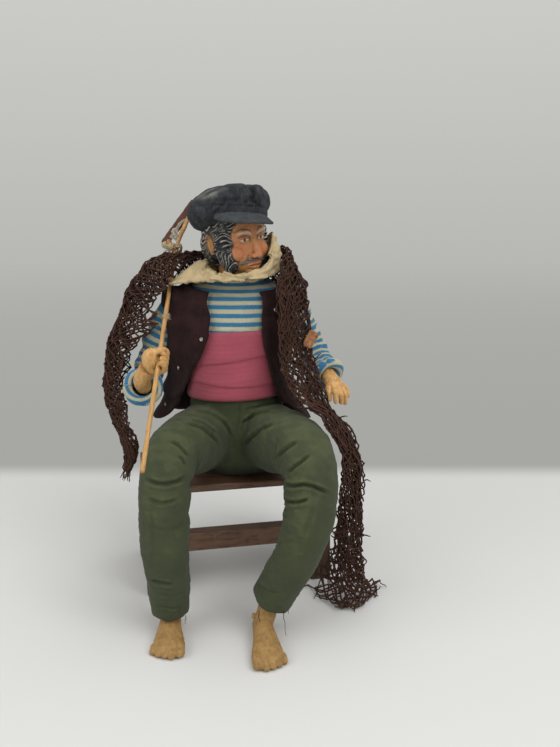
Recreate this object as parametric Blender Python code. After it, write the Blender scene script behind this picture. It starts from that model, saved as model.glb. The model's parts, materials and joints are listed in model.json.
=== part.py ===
"""Seated fisherman figure: a dressed santon with terracotta head, hands and feet on a padded body.

He sits on a small wooden stool, holds a shrimp net on a pole and wears a fishing net as a shawl.
Shapes are worked out in millimetres, with Z up, X to the viewer's right and the figure facing -Y.
The origin is on the floor, under the middle of the torso. Meshes are made in metres.
"""

import math

import bmesh
import bpy
import numpy as np
from mathutils import Matrix, Vector

MM = 0.001

# Fits
GAP = 0.35
CLOTH = 1.2

# Stool
SEAT_HEIGHT = 68.0
SEAT_WIDTH = 112.0
SEAT_DEPTH = 72.0
SEAT_THICKNESS = 4.0
SEAT_OVERHANG = 3.0
STOOL_TURN = 12.0
STOOL_CENTRE = (-4.0, 9.0)
LEG_SIZE = 12.5
RAIL_HEIGHT = 11.0
RAIL_DEPTH = 9.0
RAIL_DROP = 42.0
TENON_LENGTH = 5.0
TENON_SHRINK = 2.0
WOOD_ROUNDING = 0.7

# Head and cap
HEAD_CENTRE = (1.0, -7.5, 141.5)
HEAD_YAW = 42.0
HEAD_NOD = 6.0
HEAD_ROLL = -8.0
NECK_RADIUS = 8.5
CAP_YAW = 20.0
CAP_TILT_BACK = 14.0
CAP_TILT_SIDE = 9.0
CAP_RADIUS = 22.8
CAP_HEIGHT = 17.0
BAND_RADIUS = 17.8
BAND_HEIGHT = 6.0
BAND_THICKNESS = 1.3
VISOR_LENGTH = 10.5
VISOR_DROP = 5.2
VISOR_THICKNESS = 1.4

# Body and clothes
TORSO_SIDES = 14
TORSO_STEP = 12.0
TROUSER_WALL = 2.6
JERSEY_WALL = 1.7
SASH_THICKNESS = 2.0
SASH_HEIGHT = 39.0
WAIST_HEIGHT = 57.0
BUTTON_RADIUS = 1.1
BUTTON_DEPTH = 1.0

# Shrimp net on its pole
POLE_RADIUS = 1.25
BLADE_TURN = 50.0
FINGER_RADIUS = 1.7

# Fishing net worn as a shawl
NET_THICKNESS = 1.7
NET_COLUMNS = 42
NET_ROWS = 8
FLOAT_RADIUS = 3.0
FLOAT_LENGTH = 8.5

TERRACOTTA = ("terracotta", (0.62, 0.38, 0.20), 0.6)
DARK_FELT = ("dark_felt", (0.035, 0.04, 0.045), 0.9)
GREEN_LINEN = ("green_linen", (0.085, 0.13, 0.065), 0.9)
STRIPED_KNIT = ("striped_knit", (0.20, 0.42, 0.48), 0.9)
ROSE_COTTON = ("rose_cotton", (0.48, 0.10, 0.14), 0.85)
BROWN_FELT = ("brown_felt", (0.055, 0.025, 0.022), 0.95)
ECRU_COTTON = ("ecru_cotton", (0.55, 0.43, 0.25), 0.9)
NET_TWINE = ("net_twine", (0.075, 0.035, 0.025), 0.9)
PALE_WOOD = ("pale_wood", (0.58, 0.34, 0.14), 0.6)
STOOL_WOOD = ("stool_wood", (0.11, 0.045, 0.025), 0.55)
BLADE_WOOD = ("blade_wood", (0.16, 0.06, 0.035), 0.5)
PALE_TWINE = ("pale_twine", (0.62, 0.52, 0.36), 0.9)
STUFFING = ("stuffing", (0.60, 0.52, 0.40), 0.95)
NICKEL = ("nickel", (0.55, 0.55, 0.52), 0.35)
CORK = ("cork", (0.30, 0.14, 0.06), 0.85)


def above_seat(points):
    """Points whose third number is a height above the seat, as heights above the floor."""
    return [(p[0], p[1], p[2] + SEAT_HEIGHT, *p[3:]) for p in points]


def on_this_seat(points):
    """Points drawn over a seat of the drawn height, with heights under it as shares of it, moved to the real one."""
    moved, drawn = [], 68.0
    for x, y, z, *rest in points:
        height = z * SEAT_HEIGHT / drawn if z < drawn else z + SEAT_HEIGHT - drawn
        moved.append((x, y, height, *rest))
    return moved


def material(spec):
    name, colour, roughness = spec
    found = bpy.data.materials.get(name)
    if found:
        return found
    made = bpy.data.materials.new(name)
    made.use_nodes = True
    shader = made.node_tree.nodes["Principled BSDF"]
    shader.inputs["Base Color"].default_value = (*colour, 1.0)
    shader.inputs["Roughness"].default_value = roughness
    shader.inputs["Metallic"].default_value = 1.0 if name == "nickel" else 0.0
    return made


def curve_through(knots, count):
    """Smooth curve through the knots, whose first three numbers are a place, as count even steps."""
    knots = np.array(knots, float)
    steps = np.linalg.norm(np.diff(knots[:, :3], axis=0), axis=1)
    along = np.concatenate([[0.0], np.cumsum(steps)])
    slopes = np.gradient(knots, along, axis=0)
    wanted = np.linspace(0.0, along[-1], count)
    span = np.clip(np.searchsorted(along, wanted, side="right") - 1, 0, len(knots) - 2)
    length = (along[span + 1] - along[span])[:, None]
    t = ((wanted - along[span])[:, None]) / length
    start, end = knots[span], knots[span + 1]
    rise, fall = slopes[span] * length, slopes[span + 1] * length
    return (
        (2 * t**3 - 3 * t**2 + 1) * start
        + (t**3 - 2 * t**2 + t) * rise
        + (3 * t**2 - 2 * t**3) * end
        + (t**3 - t**2) * fall
    )


def unit(vector):
    return vector / np.linalg.norm(vector)


def tube(knots, sides, rings, grow=0.0, reach=(0.0, 0.0), relief=None, side=(1, 0, 0), domes=False, drop=0):
    """Closed tube along knots of (x, y, z, half width, half depth).

    grow is added to both radii, reach moves the ends outwards, drop leaves out that many of the last rings, and relief(s, angle) adds to the radius at s from 0 to 1 along the tube. side is the direction
    in which the half width is measured.
    """
    path = curve_through(knots, rings)
    tangents = np.gradient(path[:, :3], axis=0)
    path[0, :3] -= unit(tangents[0]) * reach[0]
    path[-1, :3] += unit(tangents[-1]) * reach[1]
    angles = np.arange(sides) * 2 * math.pi / sides
    rings -= drop
    stations = [(i / (rings - 1), 1.0, 0.0, i) for i in range(rings)]
    if domes:
        before = [(0.0, math.sin(a), -math.cos(a), 0) for a in (0.35, 0.9)]
        after = [(1.0, math.sin(a), math.cos(a), rings - 1) for a in (0.9, 0.35)]
        stations = before + stations + after
    points, faces = [], []
    for s, shrink, push, i in stations:
        tangent = unit(tangents[i])
        across = unit(np.array(side, float) - tangent * np.dot(side, tangent))
        front = np.cross(tangent, across)
        half_width, half_depth = path[i, 3] + grow, path[i, 4] + grow
        centre = path[i, :3] + tangent * push * min(half_width, half_depth)
        for angle in angles:
            extra = relief(s, angle) if relief else 0.0
            points.append(
                centre
                + across * (half_width + extra) * math.cos(angle) * shrink
                + front * (half_depth + extra) * math.sin(angle) * shrink
            )
    for i in range(len(stations) - 1):
        for j in range(sides):
            k = (j + 1) % sides
            a, b = i * sides, (i + 1) * sides
            faces += [(a + j, a + k, b + k), (a + j, b + k, b + j)]
    last = (len(stations) - 1) * sides
    faces.append(tuple(range(sides - 1, -1, -1)))
    faces.append(tuple(last + j for j in range(sides)))
    return points, faces


def ball(centre, radii, turn=None, segments=16, rings=10):
    """Ellipsoid as (points, faces)."""
    points = [np.array((0.0, 0.0, 1.0))]
    for i in range(1, rings):
        polar = math.pi * i / rings
        for j in range(segments):
            around = 2 * math.pi * j / segments
            spot = (math.sin(polar) * math.cos(around), math.sin(polar) * math.sin(around), math.cos(polar))
            points.append(np.array(spot))
    points.append(np.array((0.0, 0.0, -1.0)))
    turn = np.eye(3) if turn is None else np.array(turn)
    points = [np.array(centre, float) + turn @ (p * np.array(radii)) for p in points]
    faces = [(0, 1 + j, 1 + (j + 1) % segments) for j in range(segments)]
    for i in range(rings - 2):
        for j in range(segments):
            a, b = 1 + i * segments, 1 + (i + 1) * segments
            k = (j + 1) % segments
            faces.append((a + j, b + j, b + k, a + k))
    low = 1 + (rings - 2) * segments
    faces += [(len(points) - 1, low + (j + 1) % segments, low + j) for j in range(segments)]
    return points, faces


def sheet(grid, thickness, closed=False, holes=()):
    """Grid of points, an array of rows by columns by 3, as a wall of that thickness.

    closed joins the last column to the first, and holes lists the (row, column) cells that are left open.
    """
    rows, columns = grid.shape[:2]
    down = np.gradient(grid, axis=0)
    if closed:
        across = (np.roll(grid, -1, axis=1) - np.roll(grid, 1, axis=1)) / 2
    else:
        across = np.gradient(grid, axis=1)
    normal = np.cross(across, down)
    normal /= np.maximum(np.linalg.norm(normal, axis=2, keepdims=True), 1e-9)
    outer, inner = grid + normal * thickness / 2, grid - normal * thickness / 2
    points = list(outer.reshape(-1, 3)) + list(inner.reshape(-1, 3))
    under = rows * columns
    open_cells = set(holes)
    width = columns if closed else columns - 1
    faces, edges = [], {}
    for i in range(rows - 1):
        for j in range(width):
            if (i, j) in open_cells:
                continue
            k = (j + 1) % columns
            cell = (i * columns + j, (i + 1) * columns + j, (i + 1) * columns + k, i * columns + k)
            faces.append(cell[::-1])
            faces.append(tuple(under + c for c in cell))
            for a, b in zip(cell, cell[1:] + cell[:1]):
                edges[(a, b)] = True
    for a, b in edges:
        if (b, a) not in edges:
            faces.append((a, b, under + b, under + a))
    return points, faces


def figure():
    """The empty object that carries every piece."""
    found = bpy.data.objects.get("figure")
    if found:
        return found
    made = bpy.data.objects.new("figure", None)
    bpy.context.scene.collection.objects.link(made)
    return made


def make(name, shapes, spec, smooth=35.0):
    """One object from shapes of (points, faces) in millimetres."""
    mesh = bpy.data.meshes.new(name)
    points, faces = [], []
    for shape_points, shape_faces in shapes:
        base = len(points)
        points += [tuple(float(c) * MM for c in p) for p in shape_points]
        faces += [tuple(base + i for i in f) for f in shape_faces]
    mesh.from_pydata(points, [], faces)
    work = bmesh.new()
    work.from_mesh(mesh)
    bmesh.ops.recalc_face_normals(work, faces=work.faces)
    work.to_mesh(mesh)
    work.free()
    thing = bpy.data.objects.new(name, mesh)
    bpy.context.scene.collection.objects.link(thing)
    thing.parent = figure()
    if spec:
        mesh.materials.append(material(spec))
        finish(thing, smooth)
    return thing


def finish(thing, smooth=35.0):
    thing.data.shade_smooth()
    thing.data.set_sharp_from_angle(angle=math.radians(smooth))


def settle(thing):
    """Replaces an object's mesh by what its modifiers make of it."""
    bpy.context.view_layer.update()
    graph = bpy.context.evaluated_depsgraph_get()
    result = bpy.data.meshes.new_from_object(thing.evaluated_get(graph))
    thing.modifiers.clear()
    thing.data = result
    return thing


def combine(target, others, operation, keep=False):
    """Union or difference of target with each of the others, which are then deleted."""
    for other in others:
        step = target.modifiers.new(operation.lower(), "BOOLEAN")
        step.object = other
        step.operation = operation
        step.solver = "EXACT"
        settle(target)
        if not keep:
            bpy.data.objects.remove(other)
    return target


def modelled(name, shapes, spec, voxel, triangles, relax=4, floor=None):
    """One modelled lump from overlapping shapes: fused, softened and reduced to about that many triangles."""
    lump = make(name, shapes, None)
    remesh = lump.modifiers.new("fuse", "REMESH")
    remesh.mode = "VOXEL"
    remesh.voxel_size = voxel * MM
    soften = lump.modifiers.new("soften", "SMOOTH")
    soften.factor = 0.5
    soften.iterations = relax
    settle(lump)
    if floor is not None:
        for vertex in lump.data.vertices:
            vertex.co.z = max(vertex.co.z, floor * MM)
    count = sum(len(p.vertices) - 2 for p in lump.data.polygons)
    reduce = lump.modifiers.new("reduce", "DECIMATE")
    reduce.ratio = min(1.0, triangles / count)
    settle(lump)
    lump.data.materials.clear()
    lump.data.materials.append(material(spec))
    finish(lump, 50.0)
    return lump


def turned(yaw=0.0, nod=0.0, roll=0.0):
    """Rotation matrix: roll about Y, then nod about X, then yaw about Z, in degrees."""
    turn = (
        Matrix.Rotation(math.radians(yaw), 3, "Z")
        @ Matrix.Rotation(math.radians(nod), 3, "X")
        @ Matrix.Rotation(math.radians(roll), 3, "Y")
    )
    return np.array(turn)


# Body shapes, shared by the padding and by the clothes round it

TORSO = above_seat([
    (0, 6, 0.4, 24, 21),
    (0, 5, 6, 29, 25),
    (0, 3, 22, 30.5, 27),
    (0, 0.5, 38, 28.5, 25.5),
    (0, -1, 54, 26.5, 24),
    (0, -1, 70, 25, 22.5),
    (0, -1, 87, 26.5, 21),
    (0, 0, 99, 33, 19.5),
    (0, 0, 106.5, 34.5, 17.5),
    (0, 0, 112.5, 28, 15),
    (0, -1, 117, 19, 12.5),
    (0, -3, 121, 12, 11.5),
])
RIGHT_ARM = above_seat([
    (-18, 1, 101.5, 8, 9.5),
    (-27, 2, 101.5, 9.2, 10.3),
    (-36, 2, 98, 9.5, 10),
    (-44, 2, 84, 9, 9.5),
    (-50, 0, 69, 8.8, 8.8),
    (-53, -7, 58, 8.8, 8.6),
    (-53, -19, 54.5, 8.8, 8.4),
    (-51, -29, 57, 8.8, 8.4),
    (-49.5, -37, 60.5, 9.2, 8.8),
])
LEFT_ARM = above_seat([
    (18, 1, 101.5, 8, 9.5),
    (26, 2, 101.5, 9.2, 10.3),
    (33.5, 2, 98, 9.5, 10),
    (40, 2, 86, 9, 9.5),
    (45, 0, 76, 8.6, 8.8),
    (50, -6, 67.5, 8.4, 8.4),
    (54.5, -14, 62.5, 8.2, 8.2),
])
RIGHT_THIGH = above_seat([
    (-12, 4, 24, 15, 19),
    (-16.5, -8, 24.5, 17, 20),
    (-22, -30, 27, 17.2, 19),
    (-27.2, -50, 29.5, 15.8, 16.5),
    (-30.3, -64, 29.5, 14.3, 14.8),
    (-32, -74, 23.5, 13.4, 13.2),
    (-32.8, -79.5, 13, 13.2, 12.6),
])
LEFT_THIGH = above_seat([
    (12, 4, 24, 15, 19),
    (17.5, -8, 24.5, 17.5, 20),
    (26, -29, 27, 18.5, 19),
    (34.5, -49, 30, 17, 17),
    (39.5, -64, 30, 15.2, 15),
    (42, -74, 24, 14.2, 13.4),
    (42.5, -80, 13, 13.6, 12.8),
])
# Shins run from the seat's height down to the hem. Their heights are shares of the seat's height.
RIGHT_SHIN = [
    (-33.2, -81, 1.0, 13, 12.4),
    (-33.2, -80, 0.735, 12.4, 12),
    (-33, -76, 0.47, 11.3, 11.1),
    (-32.5, -72.5, 0.2, 10.3, 10.6),
]
LEFT_SHIN = [
    (41, -82, 1.0, 13, 12.6),
    (36.5, -81, 0.76, 12, 12.2),
    (29, -78, 0.515, 11.3, 11.6),
    (21.5, -74.5, 0.3, 11, 11),
]


def leg_knots(thigh, shin):
    return thigh + [(x, y, z * SEAT_HEIGHT, w, d) for x, y, z, w, d in shin]


RIGHT_LEG = leg_knots(RIGHT_THIGH, RIGHT_SHIN)
LEFT_LEG = leg_knots(LEFT_THIGH, LEFT_SHIN)


def crease(s, angle, at, facing, length, width, depth, slant=0.0):
    """A fold of cloth, as a valley between two low ridges, at a place along and around a tube."""
    turn = (angle - facing + math.pi) % (2 * math.pi) - math.pi
    away = (s - at - slant * turn) / width
    fade = math.exp(-((turn / length) ** 2))
    return depth * fade * (0.55 * math.exp(-((abs(away) - 1.5) ** 2)) - math.exp(-(away**2)))


def leg_folds(s, angle, mirror):
    """Folds at the groin, behind the knee and above the hem. Angle 90 degrees is the top and front."""
    if mirror:
        angle = math.pi - angle
    inner, front, back = 0.0, math.pi / 2, -math.pi / 2
    return (
        crease(s, angle, 0.17, inner + 0.9, 0.9, 0.028, 2.0, 0.05)
        + crease(s, angle, 0.29, inner + 0.5, 0.7, 0.026, 1.7, 0.04)
        + crease(s, angle, 0.45, back + 0.9, 1.1, 0.028, 1.8, -0.03)
        + crease(s, angle, 0.545, back + 0.5, 1.2, 0.026, 1.8, 0.0)
        + crease(s, angle, 0.64, inner, 0.9, 0.026, 1.4, 0.03)
        + crease(s, angle, 0.90, front, 1.0, 0.024, 1.0, 0.01)
    )


def sleeve_folds(s, angle):
    return 0.5 * math.sin(46 * s + 0.8 * math.sin(angle)) * math.sin(math.pi * s)


def torso_tube(low, high, grow=0.0, relief=None):
    """The torso between two heights above the seat, as level rings at fixed heights."""
    fine = curve_through(TORSO, 120)
    inner = [z for z in np.arange(0.0, 120.0, TORSO_STEP) if low + 1 < z < high - 1]
    points = []
    heights = np.array([low, *inner, high]) + SEAT_HEIGHT
    for z in heights:
        below = SEAT_HEIGHT + TORSO_STEP * math.floor((z - SEAT_HEIGHT) / TORSO_STEP + 1e-6)
        share = (z - below) / TORSO_STEP
        ends = [[np.interp(h, fine[:, 2], fine[:, c]) for c in range(5)] for h in (below, below + TORSO_STEP)]
        x, y, _, w, d = np.array(ends[0]) * (1 - share) + np.array(ends[1]) * share
        for k in range(TORSO_SIDES):
            angle = 2 * math.pi * k / TORSO_SIDES
            extra = relief(z - SEAT_HEIGHT, angle) if relief else 0.0
            reach_x, reach_y = w + grow + extra, d + grow + extra
            points.append((x + reach_x * math.cos(angle), y + reach_y * math.sin(angle), z))
    faces = []
    for i in range(len(heights) - 1):
        for j in range(TORSO_SIDES):
            k = (j + 1) % TORSO_SIDES
            a, b = i * TORSO_SIDES, (i + 1) * TORSO_SIDES
            faces += [(a + j, a + k, b + k), (a + j, b + k, b + j)]
    last = (len(heights) - 1) * TORSO_SIDES
    faces.append(tuple(range(TORSO_SIDES - 1, -1, -1)))
    faces.append(tuple(last + j for j in range(TORSO_SIDES)))
    return points, faces


def build_padding():
    """Stuffed body on its wire, which fills the clothes and carries head, hands and feet."""
    slack = -(TROUSER_WALL + GAP)
    sleeve_slack = -(JERSEY_WALL + GAP)
    body = make("body_padding", [torso_tube(3.4, 114.0, grow=slack)], None)
    limbs = [(RIGHT_LEG, slack, 12, 2), (LEFT_LEG, slack, 12, 2)]
    limbs += [(RIGHT_ARM, sleeve_slack, 9, 2), (LEFT_ARM, sleeve_slack, 8, 2)]
    for knots, grow, rings, drop in limbs:
        limb = make("limb", [tube(knots, 6, rings, grow=grow, drop=drop)], None)
        combine(body, [limb], "UNION")
    body.data.materials.append(material(STUFFING))
    finish(body, 50)
    return body


def build_trousers():
    trousers = make("trousers", [torso_tube(0.3, WAIST_HEIGHT)], None)
    for knots, mirror in ((RIGHT_LEG, False), (LEFT_LEG, True)):
        def folds(s, angle, flip=mirror):
            return leg_folds(s, angle, flip)
        leg = make("leg", [tube(knots, 12, 17, relief=folds)], None)
        combine(trousers, [leg], "UNION")
    rooms = [
        tube(RIGHT_LEG, 6, 12, grow=-TROUSER_WALL, reach=(1, 4)),
        tube(LEFT_LEG, 6, 12, grow=-TROUSER_WALL, reach=(1, 4)),
        torso_tube(3.0, WAIST_HEIGHT + 6, grow=-TROUSER_WALL),
    ]
    combine(trousers, [make("room", [room], None) for room in rooms], "DIFFERENCE")
    trousers.data.materials.append(material(GREEN_LINEN))
    finish(trousers, 60)
    return trousers


def build_jersey():
    low = WAIST_HEIGHT + 1.2
    jersey = make("jersey", [torso_tube(low, 117.5)], None)
    for knots in (RIGHT_ARM, LEFT_ARM):
        sleeve = make("sleeve", [tube(knots, 10, 11, relief=sleeve_folds)], None)
        combine(jersey, [sleeve], "UNION")
    rooms = [
        tube(RIGHT_ARM, 6, 9, grow=-JERSEY_WALL, reach=(1, 4)),
        tube(LEFT_ARM, 6, 8, grow=-JERSEY_WALL, reach=(1, 4)),
        torso_tube(low - 5, 120.5, grow=-JERSEY_WALL),
    ]
    combine(jersey, [make("room", [room], None) for room in rooms], "DIFFERENCE")
    jersey.data.materials.append(material(STRIPED_KNIT))
    finish(jersey, 60)
    return jersey


def ring_round_torso(profile, sides, slant=None):
    """Closed band round the torso. The profile lists (height above the seat, distance from the body)."""
    fine = curve_through(TORSO, 120)
    points, faces = [], []
    for k in range(sides):
        angle = 2 * math.pi * k / sides
        for height, out in profile:
            z = height + SEAT_HEIGHT + (slant(angle) if slant else 0.0)
            x, y, w, d = (np.interp(z, fine[:, 2], fine[:, c]) for c in (0, 1, 3, 4))
            points.append((x + (w + out) * math.cos(angle), y + (d + out) * math.sin(angle), z))
    size = len(profile)
    for k in range(sides):
        for i in range(size):
            a, b = k * size, ((k + 1) % sides) * size
            j = (i + 1) % size
            faces.append((a + i, b + i, b + j, a + j))
    return points, faces


def build_sash():
    """Three overlapping turns of cloth, drawn as one stepped band."""
    low, step = WAIST_HEIGHT - 8.0, SASH_HEIGHT / 3
    inside, out = 1.15, SASH_THICKNESS
    profile = [
        (low, inside),
        (low + 0.05 * step, inside + 0.9 * out),
        (low + 0.95 * step, inside + 0.8 * out),
        (low + 1.1 * step, inside + 1.35 * out),
        (low + 1.95 * step, inside + 0.9 * out),
        (low + 2.1 * step, inside + 1.4 * out),
        (low + 2.95 * step, inside + 0.7 * out),
        (low + 3.0 * step, inside),
        (low + 1.5 * step, inside),
    ]
    make("sash", [ring_round_torso(profile, 18, lambda a: 0.9 * math.cos(a + 0.4))], ROSE_COTTON, 30)


def pushed_clear(point, knots, margin):
    """The point, moved out to that distance from a limb if it is nearer or inside."""
    path = curve_through(knots, 60)
    tangents = np.gradient(path[:, :3], axis=0)
    nearest = int(np.argmin(np.linalg.norm(path[:, :3] - point, axis=1)))
    tangent = unit(tangents[nearest])
    across = unit(np.array((1.0, 0, 0)) - tangent * tangent[0])
    front = np.cross(tangent, across)
    offset = point - path[nearest, :3]
    u, v = offset @ across, offset @ front
    half_width, half_depth = path[nearest, 3] + margin, path[nearest, 4] + margin
    size = math.hypot(u / half_width, v / half_depth)
    if size >= 1 or size < 1e-6 or nearest < 9:
        return point
    return point + (across * u + front * v) * (1 / size - 1)


def coat_point(s, t, lift=0.0):
    """Middle of the waistcoat's cloth, s from -1 to 1 from one front edge to the other, t from top to hem."""
    fine = curve_through(TORSO, 120)
    side = abs(s)
    front = max(0.0, (side - 0.72) / 0.28)
    hem = 31.0 + 21.0 * front**1.5 + 1.2 * math.sin(19 * s)
    top = 113.0 - 2.0 * front + 4.0 * math.exp(-(((side - 0.6) / 0.16) ** 2))
    z = top + (hem - top) * t**1.35
    opening = math.radians(np.interp(z, [40, 55, 70, 112], [50, 47, 30, 30]) + 3 * (s > 0) * t)
    angle = math.pi / 2 - s * (math.pi - opening)
    x, y, w, d = (np.interp(z + SEAT_HEIGHT, fine[:, 2], fine[:, c]) for c in (0, 1, 3, 4))
    over_sash = 4.0 * max(0.0, min(1.0, (97 - z) / 6)) * max(0.0, min(1.0, (z - 44) / 5))
    skirt = max(0.0, (58 - z) / 27)
    flare = 9.0 * skirt * math.exp(-(((side - 0.62) / 0.24) ** 2)) + 3.0 * skirt
    fold = 0.9 * skirt * math.sin(26 * s) + 0.5 * math.sin(9 * s + 5 * t)
    shoulder = 2.0 * max(0.0, min(1.0, (z - 92) / 10))
    out = 1.9 + shoulder + max(over_sash, 2.5 * skirt) + flare + fold + lift
    point = np.array((x + (w + out) * math.cos(angle), y + (d + out) * math.sin(angle), z + SEAT_HEIGHT))
    for leg in (RIGHT_LEG, LEFT_LEG):
        point = pushed_clear(point, leg, 2.6)
    return point


def build_waistcoat():
    """Sleeveless open waistcoat that hangs over the tops of the thighs, with its metal buttons."""
    columns, rows = 23, 9
    grid = np.zeros((rows, columns, 3))
    for i in range(rows):
        for j in range(columns):
            grid[i, j] = coat_point(2 * j / (columns - 1) - 1, i / (rows - 1))
    coat = make("waistcoat", [sheet(grid, 1.5)], None)
    holes = [tube(arm, 10, 8, grow=1.3) for arm in (RIGHT_ARM, LEFT_ARM)]
    combine(coat, [make("hole", [hole], None) for hole in holes], "DIFFERENCE")
    coat.data.materials.append(material(BROWN_FELT))
    finish(coat, 50)
    places = [(-0.93, 0.50, 1.15), (-0.90, 0.70, 1.2), (-0.90, 0.88, 0.95), (0.93, 0.34, 1.85), (0.90, 0.72, 1.6)]
    for number, (s, t, lift) in enumerate(places, 1):
        inner, outer = coat_point(s, t, lift), coat_point(s, t, lift + BUTTON_DEPTH)
        way = unit((outer - inner) * np.array((1, 1, 0)) + np.array((0, 0, 1e-6)))
        make(f"waistcoat_button_{number}", [rod(inner, inner + way * BUTTON_DEPTH, BUTTON_RADIUS, 8, 1)], NICKEL)


SCARF = [
    # angle, then radius and height above the seat of the tucked edge, the crest, the slope and the hem
    (0, 18.5, 125, 22, 143.5, 24.8, 137, 26, 124),
    (45, 14, 124, 18, 139, 22, 131, 22.5, 122),
    (90, 13, 122, 14.5, 131, 16.5, 125, 17.5, 118),
    (135, 13, 121, 16, 129, 20, 124, 22.5, 119.5),
    (165, 13, 121, 17, 129, 23, 125, 28, 119.5),
    (181, 14, 121, 18, 128, 26, 123, 33.5, 117.6),
    (194, 14, 120, 18, 127, 28, 121, 38.5, 114.6),
    (215, 14, 118.5, 18, 124, 25, 121.5, 30, 116.6),
    (250, 14, 117, 18.5, 120, 23.5, 120.5, 25, 117.3),
    (285, 14, 117, 18.5, 120, 23, 121, 25, 118.3),
    (320, 17.5, 118, 21.5, 125, 25, 125.5, 26.5, 119.5),
]


def pushed_clear_of_head(point, margin):
    """The point, moved out of the head and the hair."""
    turn, centre = head_frame()
    spot = turn.T @ (point - np.array(centre))
    for middle, radii in 3 * (HEAD_BALLS[:4] + HEAD_BALLS[-3:] + WHISKER_BALLS):
        offset = (spot - np.array(middle)) / (np.array(radii) + margin)
        size = np.linalg.norm(offset)
        if 1e-6 < size < 1:
            spot = np.array(middle) + offset / size * (np.array(radii) + margin)
    return turn @ spot + np.array(centre)


def build_scarf():
    """Kerchief round the neck, with one corner on his right shoulder and its knot side standing up."""
    columns, rows = 24, 5
    table = np.array(SCARF + [(360, *SCARF[0][1:])], float)
    grid = np.zeros((rows, columns, 3))
    for j in range(columns):
        degrees = 360 * j / columns
        values = [np.interp(degrees, table[:, 0], table[:, c]) for c in range(1, 9)]
        profile = np.array(values).reshape(4, 2)
        line = curve_through([(r, z, 0.0) for r, z in profile], rows)
        angle = math.radians(degrees)
        for i in range(rows):
            t = i / (rows - 1)
            r, z = line[i, 0], line[i, 1]
            z += 0.9 * math.sin(5 * angle + 6 * t) * math.sin(math.pi * t)
            r += 0.8 * math.sin(9 * angle + 3 * t) * t * (1 if r < 27 else 0.3)
            point = np.array((r * math.cos(angle), -3 + r * math.sin(angle), z + SEAT_HEIGHT))
            grid[i, j] = pushed_clear_of_head(point, 3.3)
    make("scarf", [sheet(grid, 1.6, closed=True)], ECRU_COTTON, 55)


# Head: x across, -y forward, z up from its middle, in millimetres

HEAD_BALLS = [
    ((0, 2, 3.5), (16.2, 18.8, 17)),
    ((0, -4.5, -6), (13.6, 12.8, 15)),
    ((0, -6.5, -12.5), (10.8, 9.8, 8)),
    ((0, -13.4, -17.3), (4.6, 3.6, 3.6)),
    ((5.6, -14.3, 3.4), (5.8, 2.9, 2.0)),
    ((-5.6, -14.3, 3.4), (5.8, 2.9, 2.0)),
    ((8.2, -11.8, -6.5), (4.6, 4.2, 4.4)),
    ((-8.2, -11.8, -6.5), (4.6, 4.2, 4.4)),
    ((5.6, -14.0, -0.4), (2.5, 2.4, 1.5)),
    ((-5.6, -14.0, -0.4), (2.5, 2.4, 1.5)),
    ((0, -16.6, -12.6), (4.3, 1.8, 1.0)),
    ((0, -16.4, -14.3), (3.6, 1.7, 1.1)),
    ((16.0, 1.5, -4), (1.9, 3.6, 5.6)),
    ((-16.0, 1.5, -4), (1.9, 3.6, 5.6)),
    ((0, 6.5, -4), (16.4, 13.5, 13.5)),
]
WHISKER_BALLS = [((-13.2, -6.5, -6), (4.6, 6, 12)), ((13.2, -6.5, -6), (4.6, 6, 12))]
WHISKER_BALLS += [((-11.4, -9.2, -14), (3.6, 4.8, 5.4)), ((11.6, -9.6, -14.5), (5.2, 6.4, 7.4))]
WHISKER_BALLS += [((0, -15.6, -11.6), (8.4, 4.2, 3.2)), ((10.4, -12.4, -14), (3.0, 3.0, 4.0)), ((-10.4, -12.4, -14), (3.0, 3.0, 4.0))]
HEAD_TUBES = [
    [(0, -15.5, 2, 1.7, 1.6), (0, -18.6, -3.5, 2.0, 1.9), (0, -20.0, -7.6, 2.9, 2.2)],
    [(-14.8, -4.5, 3, 2.4, 3.4), (-14.0, -6, -6, 2.4, 4.2), (-11.2, -9.5, -15, 2.4, 3.8)],
    [(14.8, -4.5, 3, 2.4, 3.4), (14.0, -6, -6, 2.4, 4.2), (11.2, -9.5, -15, 2.4, 3.8)],
    [(0.4, -17.6, -10.4, 1.5, 1.4), (-4.0, -17.2, -11.2, 1.9, 1.7), (-7.8, -14.6, -13.6, 1.1, 1.0)],
    [(-0.4, -17.6, -10.4, 1.5, 1.4), (4.0, -17.2, -11.2, 1.9, 1.7), (7.8, -14.6, -13.6, 1.1, 1.0)],
]


def placed(shape, turn, centre):
    points, faces = shape
    return [turn @ np.array(p, float) + np.array(centre, float) for p in points], faces


def head_frame():
    x, y, z = HEAD_CENTRE
    return turned(HEAD_YAW, HEAD_NOD, HEAD_ROLL), (x, y, z + SEAT_HEIGHT)


def build_head():
    turn, centre = head_frame()
    shapes = [placed(ball(c, r), turn, centre) for c, r in HEAD_BALLS]
    shapes += [placed(tube(k, 10, 7, domes=True), turn, centre) for k in HEAD_TUBES]
    neck = [
        (0, -2.2, SEAT_HEIGHT + 115.4, NECK_RADIUS, NECK_RADIUS),
        (-0.1, -2.3, SEAT_HEIGHT + 118.5, NECK_RADIUS, NECK_RADIUS),
        (-0.5, -3.5, SEAT_HEIGHT + 124, NECK_RADIUS, NECK_RADIUS),
        (0, -4, SEAT_HEIGHT + 134, NECK_RADIUS + 0.5, NECK_RADIUS + 1.5),
    ]
    shapes.append(tube(neck, 14, 5))
    modelled("head", shapes, TERRACOTTA, 0.8, 960, relax=2)


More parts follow.
